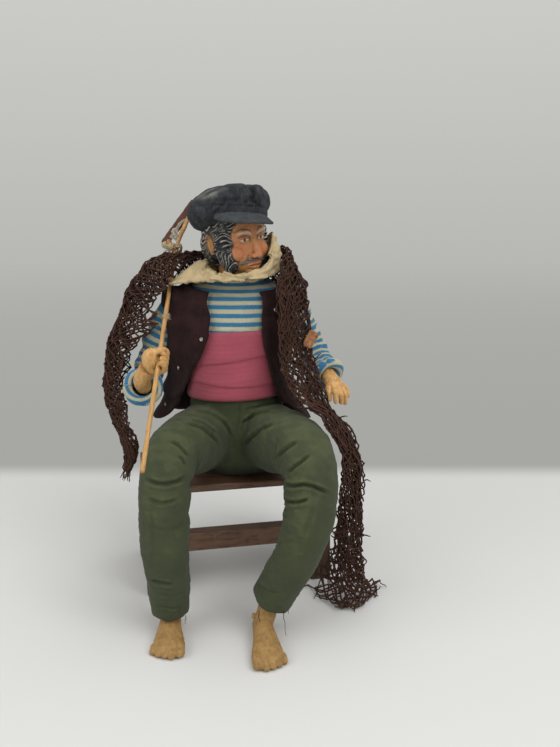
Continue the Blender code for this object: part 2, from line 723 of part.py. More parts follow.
def build_cap():
    """Felt cap with a full crown, which hangs to the back and to his right, and a stiff visor."""
    turn, centre = head_frame()
    tilt = turned(CAP_YAW, HEAD_NOD - CAP_TILT_BACK, CAP_TILT_SIDE / 3)
    lean = turned(CAP_YAW, HEAD_NOD - CAP_TILT_BACK - 4, -CAP_TILT_SIDE - 8)
    base = np.array(centre) + turn @ np.array((0.8, 2.0, 11.2))
    band = [(0, 0, -BAND_HEIGHT / 2, BAND_RADIUS + BAND_THICKNESS, BAND_RADIUS + 3 + BAND_THICKNESS)]
    band += [(0, 0, 0, BAND_RADIUS + BAND_THICKNESS + 0.4, BAND_RADIUS + 3.4 + BAND_THICKNESS)]
    band += [(0, 0, BAND_HEIGHT, BAND_RADIUS + BAND_THICKNESS, BAND_RADIUS + 3 + BAND_THICKNESS)]
    crown_centre = base + lean @ np.array((-1.5, 1.0, 6.3))
    puff = ball((0, 0, 0), (CAP_RADIUS, CAP_RADIUS + 1.5, CAP_HEIGHT / 2 + 3.5), None, 20, 9)
    puff = [(p * np.array((1, 1, 1)) + np.array((0, 0, 0.5 * math.sin(0.25 * p[0] + 0.3 * p[1])))) for p in puff[0]], puff[1]
    cap = make("cap", [placed(puff, lean, crown_centre)], None)
    combine(cap, [make("band", [placed(tube(band, 20, 3), tilt, base)], None)], "UNION")
    rooms = [ball((0, 2, 3.5), (17.4, 20.0, 18.2), None, 20, 12), ball((0, 6.5, -4), (17.6, 14.7, 14.7), None, 16, 10)]
    rooms.append(ball((0, -5.5, 0), (14.2, 13.4, 11.0), None, 16, 8))
    combine(cap, [make("room", [placed(room, turn, centre)], None) for room in rooms], "DIFFERENCE")
    cap.data.materials.append(material(DARK_FELT))
    finish(cap, 45)
    columns, rows = 11, 3
    grid = np.zeros((rows, columns, 3))
    for j in range(columns):
        s = 2 * j / (columns - 1) - 1
        angle = -math.pi / 2 + s * math.radians(46)
        for i in range(rows):
            t = i / (rows - 1)
            out = 2.0 + VISOR_LENGTH * t * (1 - abs(s) ** 2.6 * 0.93)
            x = (BAND_RADIUS + BAND_THICKNESS + out) * math.cos(angle)
            y = (BAND_RADIUS + 3 + BAND_THICKNESS + out) * math.sin(angle)
            z = -BAND_HEIGHT / 2 + 0.9 - VISOR_DROP * t + 3.6 * s * s * t
            grid[i, j] = base + tilt @ np.array((x, y, z))
    make("cap_visor", [sheet(grid, VISOR_THICKNESS)], DARK_FELT, 40)


# Pole of the shrimp net, from its lower end to the fork

POLE_FOOT, POLE_HEAD, GRIP, BLADE_MIDDLE = np.array(
    on_this_seat([(-39.7, -100.0, 100.8), (-36.9, 21.5, 203.8), (-38.6, -47.5, 145.3), (-36.3, 36.2, 216.3)])
)
POLE_WAY = unit(POLE_HEAD - POLE_FOOT)


def rod(start, end, radius, sides=10, steps=2):
    """Straight cylinder."""
    start, end = np.array(start, float), np.array(end, float)
    knots = [(*(start + (end - start) * t), radius, radius) for t in np.linspace(0, 1, 3)]
    return tube(knots, sides, steps + 1)


def build_shrimp_net():
    make("pole", [rod(POLE_FOOT, POLE_HEAD, POLE_RADIUS, 12)], PALE_WOOD, 40)
    middle = BLADE_MIDDLE
    bar = unit(np.array((0.68, -0.626, 0.72)))
    facing = unit(np.cross(bar, POLE_WAY))
    across = np.cross(facing, bar)
    ends = [middle - bar * 21.4, middle + bar * 21.4]
    lie = math.radians(BLADE_TURN)
    broad = across * math.cos(lie) + facing * math.sin(lie)
    thin = np.cross(broad, bar)
    corners = []
    for end in ends:
        for a, b in ((-2.4, -1.0), (2.4, -1.0), (2.4, 1.0), (-2.4, 1.0)):
            corners.append(end + broad * a + thin * b)
    faces = [(0, 1, 2, 3), (7, 6, 5, 4)] + [(i, i + 4, (i + 1) % 4 + 4, (i + 1) % 4) for i in range(4)]
    make("shrimp_net_blade", [(corners, faces)], BLADE_WOOD, 30)
    for name, side, at in (("shrimp_net_arm_right", -1, 14.0), ("shrimp_net_arm_left", 1, 13.0)):
        foot = POLE_HEAD - POLE_WAY * 9 + bar * side * (POLE_RADIUS + 1.0 + GAP)
        fork = POLE_HEAD + POLE_WAY * 1.5 + bar * side * 3.2
        tip = middle + bar * side * at - across * 3.7
        knots = [(*foot, 0.9, 0.9), (*fork, 1.0, 1.0), (*((fork + tip) / 2 + bar * side * 0.8), 1.0, 1.0), (*tip, 0.9, 0.9)]
        make(name, [tube(knots, 8, 7)], PALE_WOOD, 50)
    centre = POLE_HEAD - POLE_WAY * 5.6
    loop = []
    for angle in np.linspace(0, 2 * math.pi, 11)[:-1]:
        loop.append(centre + bar * 5.6 * math.cos(angle) + facing * 3.1 * math.sin(angle))
    make("shrimp_net_lashing", [ring_tube(loop, 1.35, 6)], PALE_TWINE, 60)
    rows, columns = 6, 6
    grid = np.zeros((rows, columns, 3))
    for i in range(rows):
        t = i / (rows - 1)
        for j in range(columns):
            s = 2 * j / (columns - 1) - 1
            low = POLE_HEAD + POLE_WAY * 4.5 + bar * s * 1.2
            high = middle + bar * s * 9.0 - across * 3.15
            sag = math.sin(math.pi * t) * (1 - 0.5 * s * s)
            grid[i, j] = low + (high - low) * t + facing * (5.0 * sag + 0.5 * math.sin(7 * s + 4 * t))
    make("shrimp_net_bag", [sheet(grid, 0.9)], PALE_TWINE, 60)


def ring_tube(loop, radius, sides):
    """Closed tube along a closed line of points."""
    loop = np.array(loop, float)
    centre = loop.mean(axis=0)
    count = len(loop)
    points, faces = [], []
    for k in range(count):
        tangent = unit(loop[(k + 1) % count] - loop[k - 1])
        outward = unit(loop[k] - centre - tangent * np.dot(loop[k] - centre, tangent))
        other = np.cross(tangent, outward)
        for j in range(sides):
            angle = 2 * math.pi * j / sides
            points.append(loop[k] + radius * (outward * math.cos(angle) + other * math.sin(angle)))
    for k in range(count):
        a, b = k * sides, ((k + 1) % count) * sides
        for j in range(sides):
            i = (j + 1) % sides
            faces.append((a + j, a + i, b + i, b + j))
    return points, faces


def build_hands():
    across = unit(np.array((1.0, 0, 0)) - POLE_WAY * POLE_WAY[0])
    front = np.cross(POLE_WAY, across)
    shapes = [
        tube(
            on_this_seat([(-49.6, -33.5, 127.6, 4.6, 4.6), (-49.4, -40, 132.5, 4.7, 4.2), (-45, -45, 140, 5.0, 4.4)]), 12, 6
        ),
        ball(GRIP - across * 4.6 - front * 0.5, (4.4, 5.8, 6.4), np.array([across, POLE_WAY, front]).T),
    ]
    for k in range(4):
        at = GRIP + POLE_WAY * (k - 1.4) * 3.3
        loop = []
        for degrees in (185, 130, 80, 30, -15, -55):
            angle = math.radians(degrees)
            reach = 3.9 + (0.9 if degrees > 100 else 0)
            spot = at + (across * math.cos(angle) + front * math.sin(angle)) * reach
            loop.append((*spot, FINGER_RADIUS, FINGER_RADIUS))
        shapes.append(tube(loop, 8, 9, domes=True))
    thumb = [GRIP - across * 5 - POLE_WAY * 1 - front * 3, GRIP - across * 1.5 - front * 4.6 + POLE_WAY * 2]
    thumb.append(GRIP + across * 2.6 - front * 3.9 + POLE_WAY * 4)
    shapes.append(tube([(*p, 1.9, 1.9) for p in thumb], 8, 6, domes=True))
    hand = modelled("hand_right", shapes, TERRACOTTA, 0.55, 400, relax=1)
    bore = make("bore", [rod(GRIP - POLE_WAY * 20, GRIP + POLE_WAY * 20, POLE_RADIUS + GAP, 12)], None)
    combine(hand, [bore], "DIFFERENCE")
    finish(hand, 50)
    shapes = [
        tube(
            on_this_seat([(52.5, -10.5, 132.5, 4.4, 4.4), (55.5, -18.5, 129.6, 4.3, 3.8), (57, -23, 127.5, 5.0, 4.0)]), 12, 6
        ),
        ball(on_this_seat([(57.6, -24.5, 126.2)])[0], (5.2, 5.4, 4.2)),
    ]
    fingers = [
        [(54.2, -26.5, 126.5), (53.8, -31, 124), (54.4, -32.2, 119.8)],
        [(56.8, -27.5, 126.6), (57.4, -32.5, 123.8), (58.0, -33.2, 118.8)],
        [(59.4, -27, 126.2), (60.8, -31.2, 122.8), (61.2, -31.2, 118.0)],
        [(61.2, -25.4, 125.4), (63.4, -28, 121.6), (63.6, -27.6, 116.8)],
        [(61.8, -22, 125.8), (64.6, -21.5, 123.2), (65.4, -23.5, 120.0)],
    ]
    for knots in fingers:
        shapes.append(tube([(*p, FINGER_RADIUS, FINGER_RADIUS) for p in on_this_seat(knots)], 8, 7, domes=True))
    modelled("hand_left", shapes, TERRACOTTA, 0.55, 400, relax=1)


def build_feet():
    """Bare feet. Each is laid out from heel to toes and is flat underneath."""
    feet = {
        "foot_right": ((-33.0, -66.0), -87.0, 1.0, [(-32.8, -73.3, 24.0), (-32.8, -71.7, 13.0)]),
        "foot_left": ((16.5, -76.0), -80.0, -1.0, [(25.0, -76.3, 29.0), (20.2, -75.2, 16.0)]),
    }
    for name, (heel, heading, inner, ankle) in feet.items():
        way = np.array((math.cos(math.radians(heading)), math.sin(math.radians(heading)), 0))
        side = np.array((-way[1], way[0], 0)) * inner

        def at(along, out, z):
            return np.array((*heel, 0)) + way * along + side * out + np.array((0, 0, z))

        sole = [(*at(-1.5, 0, 5), 4.8, 5), (*at(6, 0, 6.5), 5.4, 6.5), (*at(15, 0, 5.2), 6.6, 5)]
        sole += [(*at(23, 0.4, 3.8), 8.0, 3.8), (*at(28.5, 0.4, 3.0), 7.8, 3.0)]
        shapes = [tube(sole, 14, 9, domes=True)]
        leg = [(*ankle[0], 5.6, 5.8), (*ankle[1], 5.4, 5.8), (*at(3, 0, 6), 5.2, 5.6)]
        shapes.append(tube(leg, 12, 6))
        toes = [(6.2, 25, 34.5, 2.7), (2.4, 27, 35.5, 2.0), (-1.1, 27, 34.5, 1.9), (-4.3, 26.5, 33.0, 1.8), (-7.2, 25, 30.8, 1.7)]
        for out, start, end, radius in toes:
            knots = [(*at(start, out, radius + 0.8), radius, radius), (*at(end - radius, out * 1.04, radius), radius, radius)]
            knots.insert(1, tuple((np.array(knots[0]) + np.array(knots[1])) / 2 + np.array((0, 0, 0.6, 0, 0))))
            shapes.append(tube(knots, 8, 5, domes=True))
        modelled(name, shapes, TERRACOTTA, 0.6, 320, relax=1, floor=0.0)


# Fishing net: its front or inner edge, its middle and its back or outer edge, from tail to floor

NET_RIBS = [
    ((-61.0, -23.0, 75.5), (-62.8, -24.4, 74.0), (-65.0, -23.0, 75.5)),
    ((-57.5, -22.0, 84.0), (-60.5, -24.6, 82.5), (-65.0, -21.0, 84.0)),
    ((-57.0, -22.0, 92.5), (-62.5, -26.0, 91.5), (-67.0, -18.0, 92.5)),
    ((-60.0, -25.0, 104.0), (-69.5, -20.0, 103.0), (-68.0, -4.0, 104.0)),
    ((-64.5, -22.0, 120.0), (-75.5, -12.0, 119.0), (-69.0, 8.0, 120.0)),
    ((-65.0, -17.0, 135.0), (-75.5, -8.0, 135.0), (-67.0, 13.0, 135.0)),
    ((-58.0, -15.0, 150.0), (-73.0, -6.0, 150.0), (-62.0, 16.0, 150.0)),
    ((-49.5, -15.5, 163.0), (-66.5, -4.0, 164.0), (-56.0, 18.0, 162.0)),
    ((-43.5, -17.0, 177.0), (-60.0, -2.0, 181.0), (-51.0, 20.0, 172.0)),
    ((-39.0, -14.0, 186.5), (-48.5, 1.0, 195.0), (-43.0, 22.0, 177.0)),
    ((-31.0, -4.0, 193.0), (-33.5, 6.5, 197.5), (-33.0, 24.5, 179.0)),
    ((-21.5, 10.0, 197.0), (-22.0, 17.0, 196.5), (-22.5, 28.0, 176.0)),
    ((-8.0, 17.5, 195.0), (-8.5, 24.0, 190.0), (-9.0, 28.5, 170.0)),
    ((7.0, 18.0, 196.0), (8.5, 24.0, 190.0), (9.0, 28.5, 168.0)),
    ((20.5, 15.0, 201.5), (24.5, 19.8, 192.5), (26.0, 25.5, 171.0)),
    ((29.0, 3.0, 201.5), (33.0, 8.0, 193.0), (38.0, 18.0, 177.0)),
    ((26.5, -17.0, 195.0), (33.0, -6.0, 191.0), (40.5, 4.0, 182.5)),
    ((24.5, -29.5, 182.5), (32.5, -21.0, 180.5), (41.5, -11.0, 174.0)),
    ((26.5, -33.0, 168.0), (34.5, -27.0, 167.0), (42.5, -17.0, 162.0)),
    ((29.0, -36.0, 150.0), (37.0, -31.0, 149.0), (45.0, -22.0, 147.0)),
    ((32.0, -40.0, 135.0), (40.5, -35.5, 134.0), (48.0, -30.0, 131.0)),
    ((37.5, -48.0, 122.5), (46.0, -42.0, 121.0), (54.5, -37.0, 113.5)),
    ((47.0, -55.0, 117.5), (56.5, -49.0, 111.0), (65.0, -41.0, 102.0)),
    ((56.5, -59.0, 105.0), (64.0, -51.0, 97.0), (71.0, -42.0, 88.0)),
    ((58.5, -58.0, 90.0), (66.0, -50.0, 82.0), (72.8, -41.0, 73.0)),
    ((58.5, -54.0, 75.0), (66.5, -48.0, 67.0), (73.5, -40.0, 57.0)),
    ((59.0, -47.0, 59.0), (67.0, -44.0, 50.0), (74.0, -38.0, 40.0)),
    ((59.0, -39.0, 42.0), (67.5, -41.0, 33.0), (75.0, -36.0, 24.0)),
    ((57.0, -32.0, 26.0), (67.5, -42.0, 17.0), (78.0, -32.0, 12.0)),
    ((51.0, -24.0, 12.0), (67.0, -45.0, 6.5), (83.0, -25.0, 5.0)),
    ((43.0, -19.5, 2.0), (66.0, -51.0, 1.3), (89.5, -16.0, 1.3)),
]


def uneven(count, narrow):
    """Grid lines from 0 to 1 whose odd cells are wide and even cells are narrow."""
    widths = [1.0 if k % 2 else narrow for k in range(count)]
    edges = np.concatenate([[0.0], np.cumsum(widths)])
    return edges / edges[-1]


def build_fishing_net():
    ribs = [on_this_seat(rib) for rib in NET_RIBS]
    knots = [(*middle, *inner, *outer) for inner, middle, outer in ribs]
    fine = curve_through(knots, 600)
    lines = uneven(NET_COLUMNS, 0.8) * 599
    across = uneven(NET_ROWS, 0.75)
    grid = np.zeros((NET_ROWS + 1, NET_COLUMNS + 1, 3))
    for j, line in enumerate(lines):
        rib = fine[int(round(line))]
        middle, inner, outer = rib[:3], rib[3:6], rib[6:9]
        for i, t in enumerate(across):
            point = inner * (1 - t) * (1 - 2 * t) + middle * 4 * t * (1 - t) + outer * t * (2 * t - 1)
            grid[i, j] = point
    holes = []
    for i in range(1, NET_ROWS - 1, 2):
        for j in range(5, NET_COLUMNS - 1, 2):
            if (i // 2 + j // 2) % 4 != 3:
                holes.append((i, j))
    net = make("fishing_net", [sheet(grid, NET_THICKNESS, holes=holes)], None)
    clear = make("clear", [rod(POLE_FOOT, POLE_HEAD + POLE_WAY * 8, POLE_RADIUS + 0.7, 8)], None)
    combine(net, [clear], "DIFFERENCE")
    net.data.materials.append(material(NET_TWINE))
    finish(net, 40)
    float_middle = np.array(on_this_seat([(43.6, -30.8, 154.0)])[0])
    float_way = unit(np.array((0.25, -0.15, 1.0)))
    ends = float_middle - float_way * FLOAT_LENGTH / 2, float_middle + float_way * FLOAT_LENGTH / 2
    make("net_float", [rod(*ends, FLOAT_RADIUS, 10, 1)], CORK, 40)


def centre_on_floor():
    """Moves the whole figure so that the origin is under the middle of its bounding box."""
    bpy.context.view_layer.update()
    graph = bpy.context.evaluated_depsgraph_get()
    low, high = np.full(3, 9.0), np.full(3, -9.0)
    for thing in bpy.data.objects:
        if thing.type == "MESH":
            shape = thing.evaluated_get(graph)
            corners = np.array([shape.matrix_world @ Vector(c) for c in shape.bound_box])
            if thing.parent.name == "stool":
                corners = np.array([shape.matrix_world @ v.co for v in shape.data.vertices])
            low, high = np.minimum(low, corners.min(0)), np.maximum(high, corners.max(0))
    middle = (low + high) / 2
    figure().location = (-middle[0], -middle[1], -low[2])


def wipe_scene():
    for thing in list(bpy.data.objects):
        bpy.data.objects.remove(thing)


def build_stool():
    """Seat board on four posts, with rails tenoned into the posts."""
    stool = bpy.data.objects.new("stool", None)
    bpy.context.scene.collection.objects.link(stool)
    stool.parent = figure()
    stool.location = (STOOL_CENTRE[0] * MM, STOOL_CENTRE[1] * MM, 0)
    stool.rotation_euler = (0, 0, math.radians(STOOL_TURN))

    def board(name, low, high, rounding=WOOD_ROUNDING):
        low, high = np.array(low, float), np.array(high, float)
        mesh = bpy.data.meshes.new(name)
        work = bmesh.new()
        bmesh.ops.create_cube(work, size=1.0)
        for vertex in work.verts:
            vertex.co = Vector([(low[i] + (high[i] - low[i]) * (vertex.co[i] + 0.5)) * MM for i in range(3)])
        work.to_mesh(mesh)
        work.free()
        thing = bpy.data.objects.new(name, mesh)
        bpy.context.scene.collection.objects.link(thing)
        thing.parent = stool
        mesh.materials.append(material(STOOL_WOOD))
        if rounding:
            bevel = thing.modifiers.new("worn edges", "BEVEL")
            bevel.width = rounding * MM
            bevel.segments = 1
        return thing

    half_width = SEAT_WIDTH / 2
    half_depth = SEAT_DEPTH / 2
    under = SEAT_HEIGHT - SEAT_THICKNESS
    board("stool_seat", (-half_width, -half_depth, under), (half_width, half_depth, SEAT_HEIGHT))
    leg_x = half_width - LEG_SIZE
    leg_y = half_depth - SEAT_OVERHANG - LEG_SIZE
    rail_top = SEAT_HEIGHT - RAIL_DROP + RAIL_HEIGHT / 2 + 5
    rail_low = rail_top - RAIL_HEIGHT
    side_top = rail_low - GAP
    side_low = side_top - RAIL_HEIGHT
    inset = (LEG_SIZE - RAIL_DEPTH) / 2
    legs = {}
    for depth_name, sy in (("front", -1), ("back", 1)):
        for side_name, sx in (("right", -1), ("left", 1)):
            low = (min(sx * leg_x, sx * half_width), min(sy * leg_y, sy * (leg_y + LEG_SIZE)), 0)
            high = (max(sx * leg_x, sx * half_width), max(sy * leg_y, sy * (leg_y + LEG_SIZE)), under - GAP)
            legs[(sx, sy)] = settle(board(f"stool_leg_{depth_name}_{side_name}", low, high))

    def socket(leg, low, high):
        cutter = board("socket", np.array(low) - GAP, np.array(high) + GAP, 0)
        combine(leg, [cutter], "DIFFERENCE")

    def rail(name, low, high, along, ends):
        """A rail between two posts, with a tenon at each end."""
        body = settle(board(name, low, high, WOOD_ROUNDING / 2))
        for sign, leg in ends:
            tenon_low, tenon_high = np.array(low, float), np.array(high, float)
            tenon_low += TENON_SHRINK
            tenon_high -= TENON_SHRINK
            if sign < 0:
                tenon_low[along] = low[along] - TENON_LENGTH
                tenon_high[along] = low[along] + 2
            else:
                tenon_low[along] = high[along] - 2
                tenon_high[along] = high[along] + TENON_LENGTH
            socket(leg, tenon_low, tenon_high)
            combine(body, [settle(board("tenon", tenon_low, tenon_high, 0))], "UNION")
        return body

    middle = -(leg_y + LEG_SIZE / 2)
    rail(
        "stool_rail_front",
        (-leg_x + GAP, middle - LEG_SIZE / 2 + inset, rail_low),
        (leg_x - GAP, middle + LEG_SIZE / 2 - inset, rail_top),
        0,
        [(-1, legs[(-1, -1)]), (1, legs[(1, -1)])],
    )
    for side_name, sx in (("right", -1), ("left", 1)):
        middle = sx * (leg_x + LEG_SIZE / 2)
        rail(
            f"stool_rail_{side_name}",
            (middle - LEG_SIZE / 2 + inset, -leg_y + GAP, side_low),
            (middle + LEG_SIZE / 2 - inset, leg_y - GAP, side_top),
            1,
            [(-1, legs[(sx, -1)]), (1, legs[(sx, 1)])],
        )


def main():
    wipe_scene()
    build_stool()
    build_padding()
    build_trousers()
    build_jersey()
    build_sash()
    build_waistcoat()
    build_scarf()
    build_head()
    build_cap()
    build_shrimp_net()
    build_hands()
    build_feet()
    build_fishing_net()
    centre_on_floor()


main()
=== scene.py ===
"""Looks of the seated fisherman santon: painted clay, knit, linen, felt, cotton, twine and worn wood.

Shapes are worked out in millimetres in the figure's own frame, with the floor at 0, X to the viewer's
right and the figure facing -Y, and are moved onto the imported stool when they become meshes.
"""

import json
import math

import bmesh
import bpy
import numpy as np
from bpy.props import FloatProperty, FloatVectorProperty, PointerProperty
from mathutils import Matrix, Vector
from mathutils.bvhtree import BVHTree

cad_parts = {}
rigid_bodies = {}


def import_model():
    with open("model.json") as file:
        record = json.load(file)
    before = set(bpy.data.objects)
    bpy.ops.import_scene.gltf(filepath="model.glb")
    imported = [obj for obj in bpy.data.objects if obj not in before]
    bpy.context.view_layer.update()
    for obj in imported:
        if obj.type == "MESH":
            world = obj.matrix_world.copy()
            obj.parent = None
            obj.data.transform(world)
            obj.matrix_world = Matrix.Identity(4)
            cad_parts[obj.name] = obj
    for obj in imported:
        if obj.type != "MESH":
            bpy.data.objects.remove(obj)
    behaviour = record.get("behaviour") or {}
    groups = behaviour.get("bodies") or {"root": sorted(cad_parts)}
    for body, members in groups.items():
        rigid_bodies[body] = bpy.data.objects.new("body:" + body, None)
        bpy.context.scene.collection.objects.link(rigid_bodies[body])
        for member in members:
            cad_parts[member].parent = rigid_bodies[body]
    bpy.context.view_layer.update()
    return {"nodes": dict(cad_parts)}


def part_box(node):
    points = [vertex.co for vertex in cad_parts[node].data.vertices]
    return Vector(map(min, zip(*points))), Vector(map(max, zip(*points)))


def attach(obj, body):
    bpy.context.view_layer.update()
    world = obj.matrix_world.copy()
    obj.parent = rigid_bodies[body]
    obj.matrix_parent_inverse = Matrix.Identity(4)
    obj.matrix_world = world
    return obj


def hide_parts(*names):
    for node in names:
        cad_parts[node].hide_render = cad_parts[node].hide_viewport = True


bl_info = {
    "name": "Seated fisherman santon",
    "version": (1, 0, 0),
    "blender": (4, 5, 0),
    "location": "3D View > Sidebar > Santon",
    "description": "Clothes, clay, net and stool of a dressed figurine",
    "category": "Object",
}

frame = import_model()

MM = 0.001
STOOL_CENTRE = (-4.0, 9.0)
STOOL_TURN = 12.0
SEAT = 68.0
SEAT_LOW, SEAT_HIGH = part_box("stool_seat")
ORIGIN = np.array(
    (
        (SEAT_LOW[0] + SEAT_HIGH[0]) / 2 / MM - STOOL_CENTRE[0],
        (SEAT_LOW[1] + SEAT_HIGH[1]) / 2 / MM - STOOL_CENTRE[1],
        0.0,
    )
)

# Camera of the photograph, in the figure's frame
EYE = np.array((26.5, -442.6, 222.0))
EYE_PITCH = math.radians(12.0)
FOCAL_PIXELS = 750.0
PHOTO = (560, 747)


# Numbers and lines


def unit(vector):
    vector = np.asarray(vector, float)
    return vector / max(np.linalg.norm(vector), 1e-12)


def smooth(x):
    x = np.clip(x, 0.0, 1.0)
    return x * x * (3 - 2 * x)


def bell(x):
    """1 at 0, and soon near 0 on both sides."""
    return np.exp(-(x**2))


def curve_through(knots, count):
    """Smooth curve through the knots, whose first three numbers are a place, as count even steps."""
    knots = np.array(knots, float)
    steps = np.linalg.norm(np.diff(knots[:, :3], axis=0), axis=1)
    along = np.concatenate([[0.0], np.cumsum(steps)])
    slopes = np.gradient(knots, along, axis=0)
    wanted = np.linspace(0.0, along[-1], count)
    span = np.clip(np.searchsorted(along, wanted, side="right") - 1, 0, len(knots) - 2)
    length = (along[span + 1] - along[span])[:, None]
    t = ((wanted - along[span])[:, None]) / length
    rise, fall = slopes[span] * length, slopes[span + 1] * length
    return (
        (2 * t**3 - 3 * t**2 + 1) * knots[span]
        + (t**3 - 2 * t**2 + t) * rise
        + (3 * t**2 - 2 * t**3) * knots[span + 1]
        + (t**3 - t**2) * fall
    )


def waves(points, size, seed=0, count=7):
    """Soft bumps between about -1 and 1, of that size in mm, from crossed waves."""
    rng = np.random.default_rng(seed)
    points = np.asarray(points, float)
    total = np.zeros(len(points))
    for _ in range(count):
        way = unit(rng.normal(size=points.shape[1]))
        total += np.sin(points @ way * 2 * math.pi / (size * rng.uniform(0.7, 1.5)) + rng.uniform(0, 6.28))
    return total / math.sqrt(count) / 1.2


def seen_at(points):
    """Where the photograph's camera sees these points, in pixels."""
    ray = np.asarray(points, float) - EYE
    deep = ray[:, 1] * math.cos(EYE_PITCH) - ray[:, 2] * math.sin(EYE_PITCH)
    up = ray[:, 1] * math.sin(EYE_PITCH) + ray[:, 2] * math.cos(EYE_PITCH)
    return np.stack(
        [PHOTO[0] / 2 + FOCAL_PIXELS * ray[:, 0] / deep, PHOTO[1] / 2 - FOCAL_PIXELS * up / deep], 1
    )


def from_line(spots, line):
    """Distance to a drawn line, signed by its side, and how far along it, from 0 to 1."""
    line = np.array(line, float)
    fine = curve_through(np.column_stack([line, np.zeros(len(line))]), 8 * len(line))[:, :2]
    best, side, along = np.full(len(spots), 1e9), np.zeros(len(spots)), np.zeros(len(spots))
    for k, (a, b) in enumerate(zip(fine[:-1], fine[1:])):
        way = b - a
        share = np.clip(((spots - a) @ way) / max(way @ way, 1e-9), 0, 1)
        off = spots - a - share[:, None] * way
        far = np.linalg.norm(off, axis=1)
        nearer = far < best
        best = np.where(nearer, far, best)
        side = np.where(nearer, np.sign(way[0] * off[:, 1] - way[1] * off[:, 0]), side)
        along = np.where(nearer, (k + share) / (len(fine) - 1), along)
    return best * side, along


def drawn_folds(points, normals, folds):
    """Relief in mm of folds drawn on the view from the front, as (line, width, depth) each.

    A negative depth is a valley with a soft lip on its lower side, and a positive one a ridge.
    """
    spots = seen_at(points)
    toward = EYE - points
    toward /= np.linalg.norm(toward, axis=1)[:, None]
    facing = smooth(((normals * toward).sum(1) + 0.05) / 0.45)
    relief = np.zeros(len(points))
    for line, width, depth in folds:
        low, high = np.min(line, 0) - 4 * width, np.max(line, 0) + 4 * width
        near = np.all((spots > low) & (spots < high), axis=1) & (facing > 0)
        if not near.any():
            continue
        away, along = from_line(spots[near], line)
        away /= width
        ends = smooth(along / 0.22) * smooth((1 - along) / 0.22)
        core = bell(away)
        if depth < 0:
            shape = -core + 0.5 * bell(away - 1.7) + 0.45 * bell(away + 1.7)
        else:
            shape = core - 0.3 * bell(np.abs(away) - 1.9)
        relief[near] += abs(depth) * shape * ends * facing[near]
    return relief


def patches(points, spots):
    """Soft patches as (place, radius, strength) each, in mm."""
    total = np.zeros(len(points))
    for place, radius, strength in spots:
        far = np.linalg.norm((points - np.array(place)) / np.array(radius), axis=1)
        total += strength * bell(far)
    return total


# Shapes as (points, faces)


def loft_faces(rings, sides, ends=True):
    """Faces between rings of that many points each, and over the two ends."""
    faces = []
    for i in range(rings - 1):
        for j in range(sides):
            k, a, b = (j + 1) % sides, i * sides, (i + 1) * sides
            faces.append((a + j, a + k, b + k, b + j))
    if ends:
        last = (rings - 1) * sides
        faces += [tuple(range(sides - 1, -1, -1)), tuple(last + j for j in range(sides))]
    return faces


def tube(knots, sides, rings, grow=0.0, reach=(0.0, 0.0), relief=None, domes=False):
    """Closed tube along knots of (x, y, z, half width, half depth)."""
    path = curve_through(knots, rings)
    tangents = np.gradient(path[:, :3], axis=0)
    path[0, :3] -= unit(tangents[0]) * reach[0]
    path[-1, :3] += unit(tangents[-1]) * reach[1]
    angles = np.arange(sides) * 2 * math.pi / sides
    stations = [(i / (rings - 1), 1.0, 0.0, i) for i in range(rings)]
    if domes:
        before = [(0.0, math.sin(a), -math.cos(a), 0) for a in (0.15, 0.5, 0.9, 1.25)]
        after = [(1.0, math.sin(a), math.cos(a), rings - 1) for a in (1.25, 0.9, 0.5, 0.15)]
        stations = before + stations + after
    points = []
    for s, shrink, push, i in stations:
        tangent = unit(tangents[i])
        across = unit(np.array((1.0, 0, 0)) - tangent * tangent[0])
        front = np.cross(tangent, across)
        half_width, half_depth = path[i, 3] + grow, path[i, 4] + grow
        centre = path[i, :3] + tangent * push * min(half_width, half_depth)
        extra = relief(s, angles) if relief else np.zeros(sides)
        points.append(
            centre
            + across * ((half_width + extra) * np.cos(angles) * shrink)[:, None]
            + front * ((half_depth + extra) * np.sin(angles) * shrink)[:, None]
        )
    return np.concatenate(points), loft_faces(len(stations), sides)


def string(line, radius, sides=6, rings=None, ends=True):
    """Round strand along a line of points."""
    rings = rings or max(3, 4 * len(line))
    path = curve_through(line, rings) if len(line) > 2 else np.linspace(line[0], line[1], rings)
    tangents = np.gradient(path[:, :3], axis=0)
    tangents /= np.maximum(np.linalg.norm(tangents, axis=1)[:, None], 1e-9)
    radii = (
        np.full(rings, radius) if np.isscalar(radius)
        else np.interp(np.linspace(0, 1, rings), np.linspace(0, 1, len(radius)), radius)
    )
    guide = np.array((0.31, 0.17, 0.93)) if abs(tangents[0][2]) < 0.9 else np.array((0.9, 0.2, 0.1))
    angles = np.arange(sides) * 2 * math.pi / sides
    points = []
    for spot, tangent, size in zip(path[:, :3], tangents, radii):
        guide = unit(guide - tangent * (guide @ tangent))
        other = np.cross(tangent, guide)
        points.append(spot + size * (np.outer(np.cos(angles), guide) + np.outer(np.sin(angles), other)))
    return np.concatenate(points), loft_faces(rings, sides, ends)


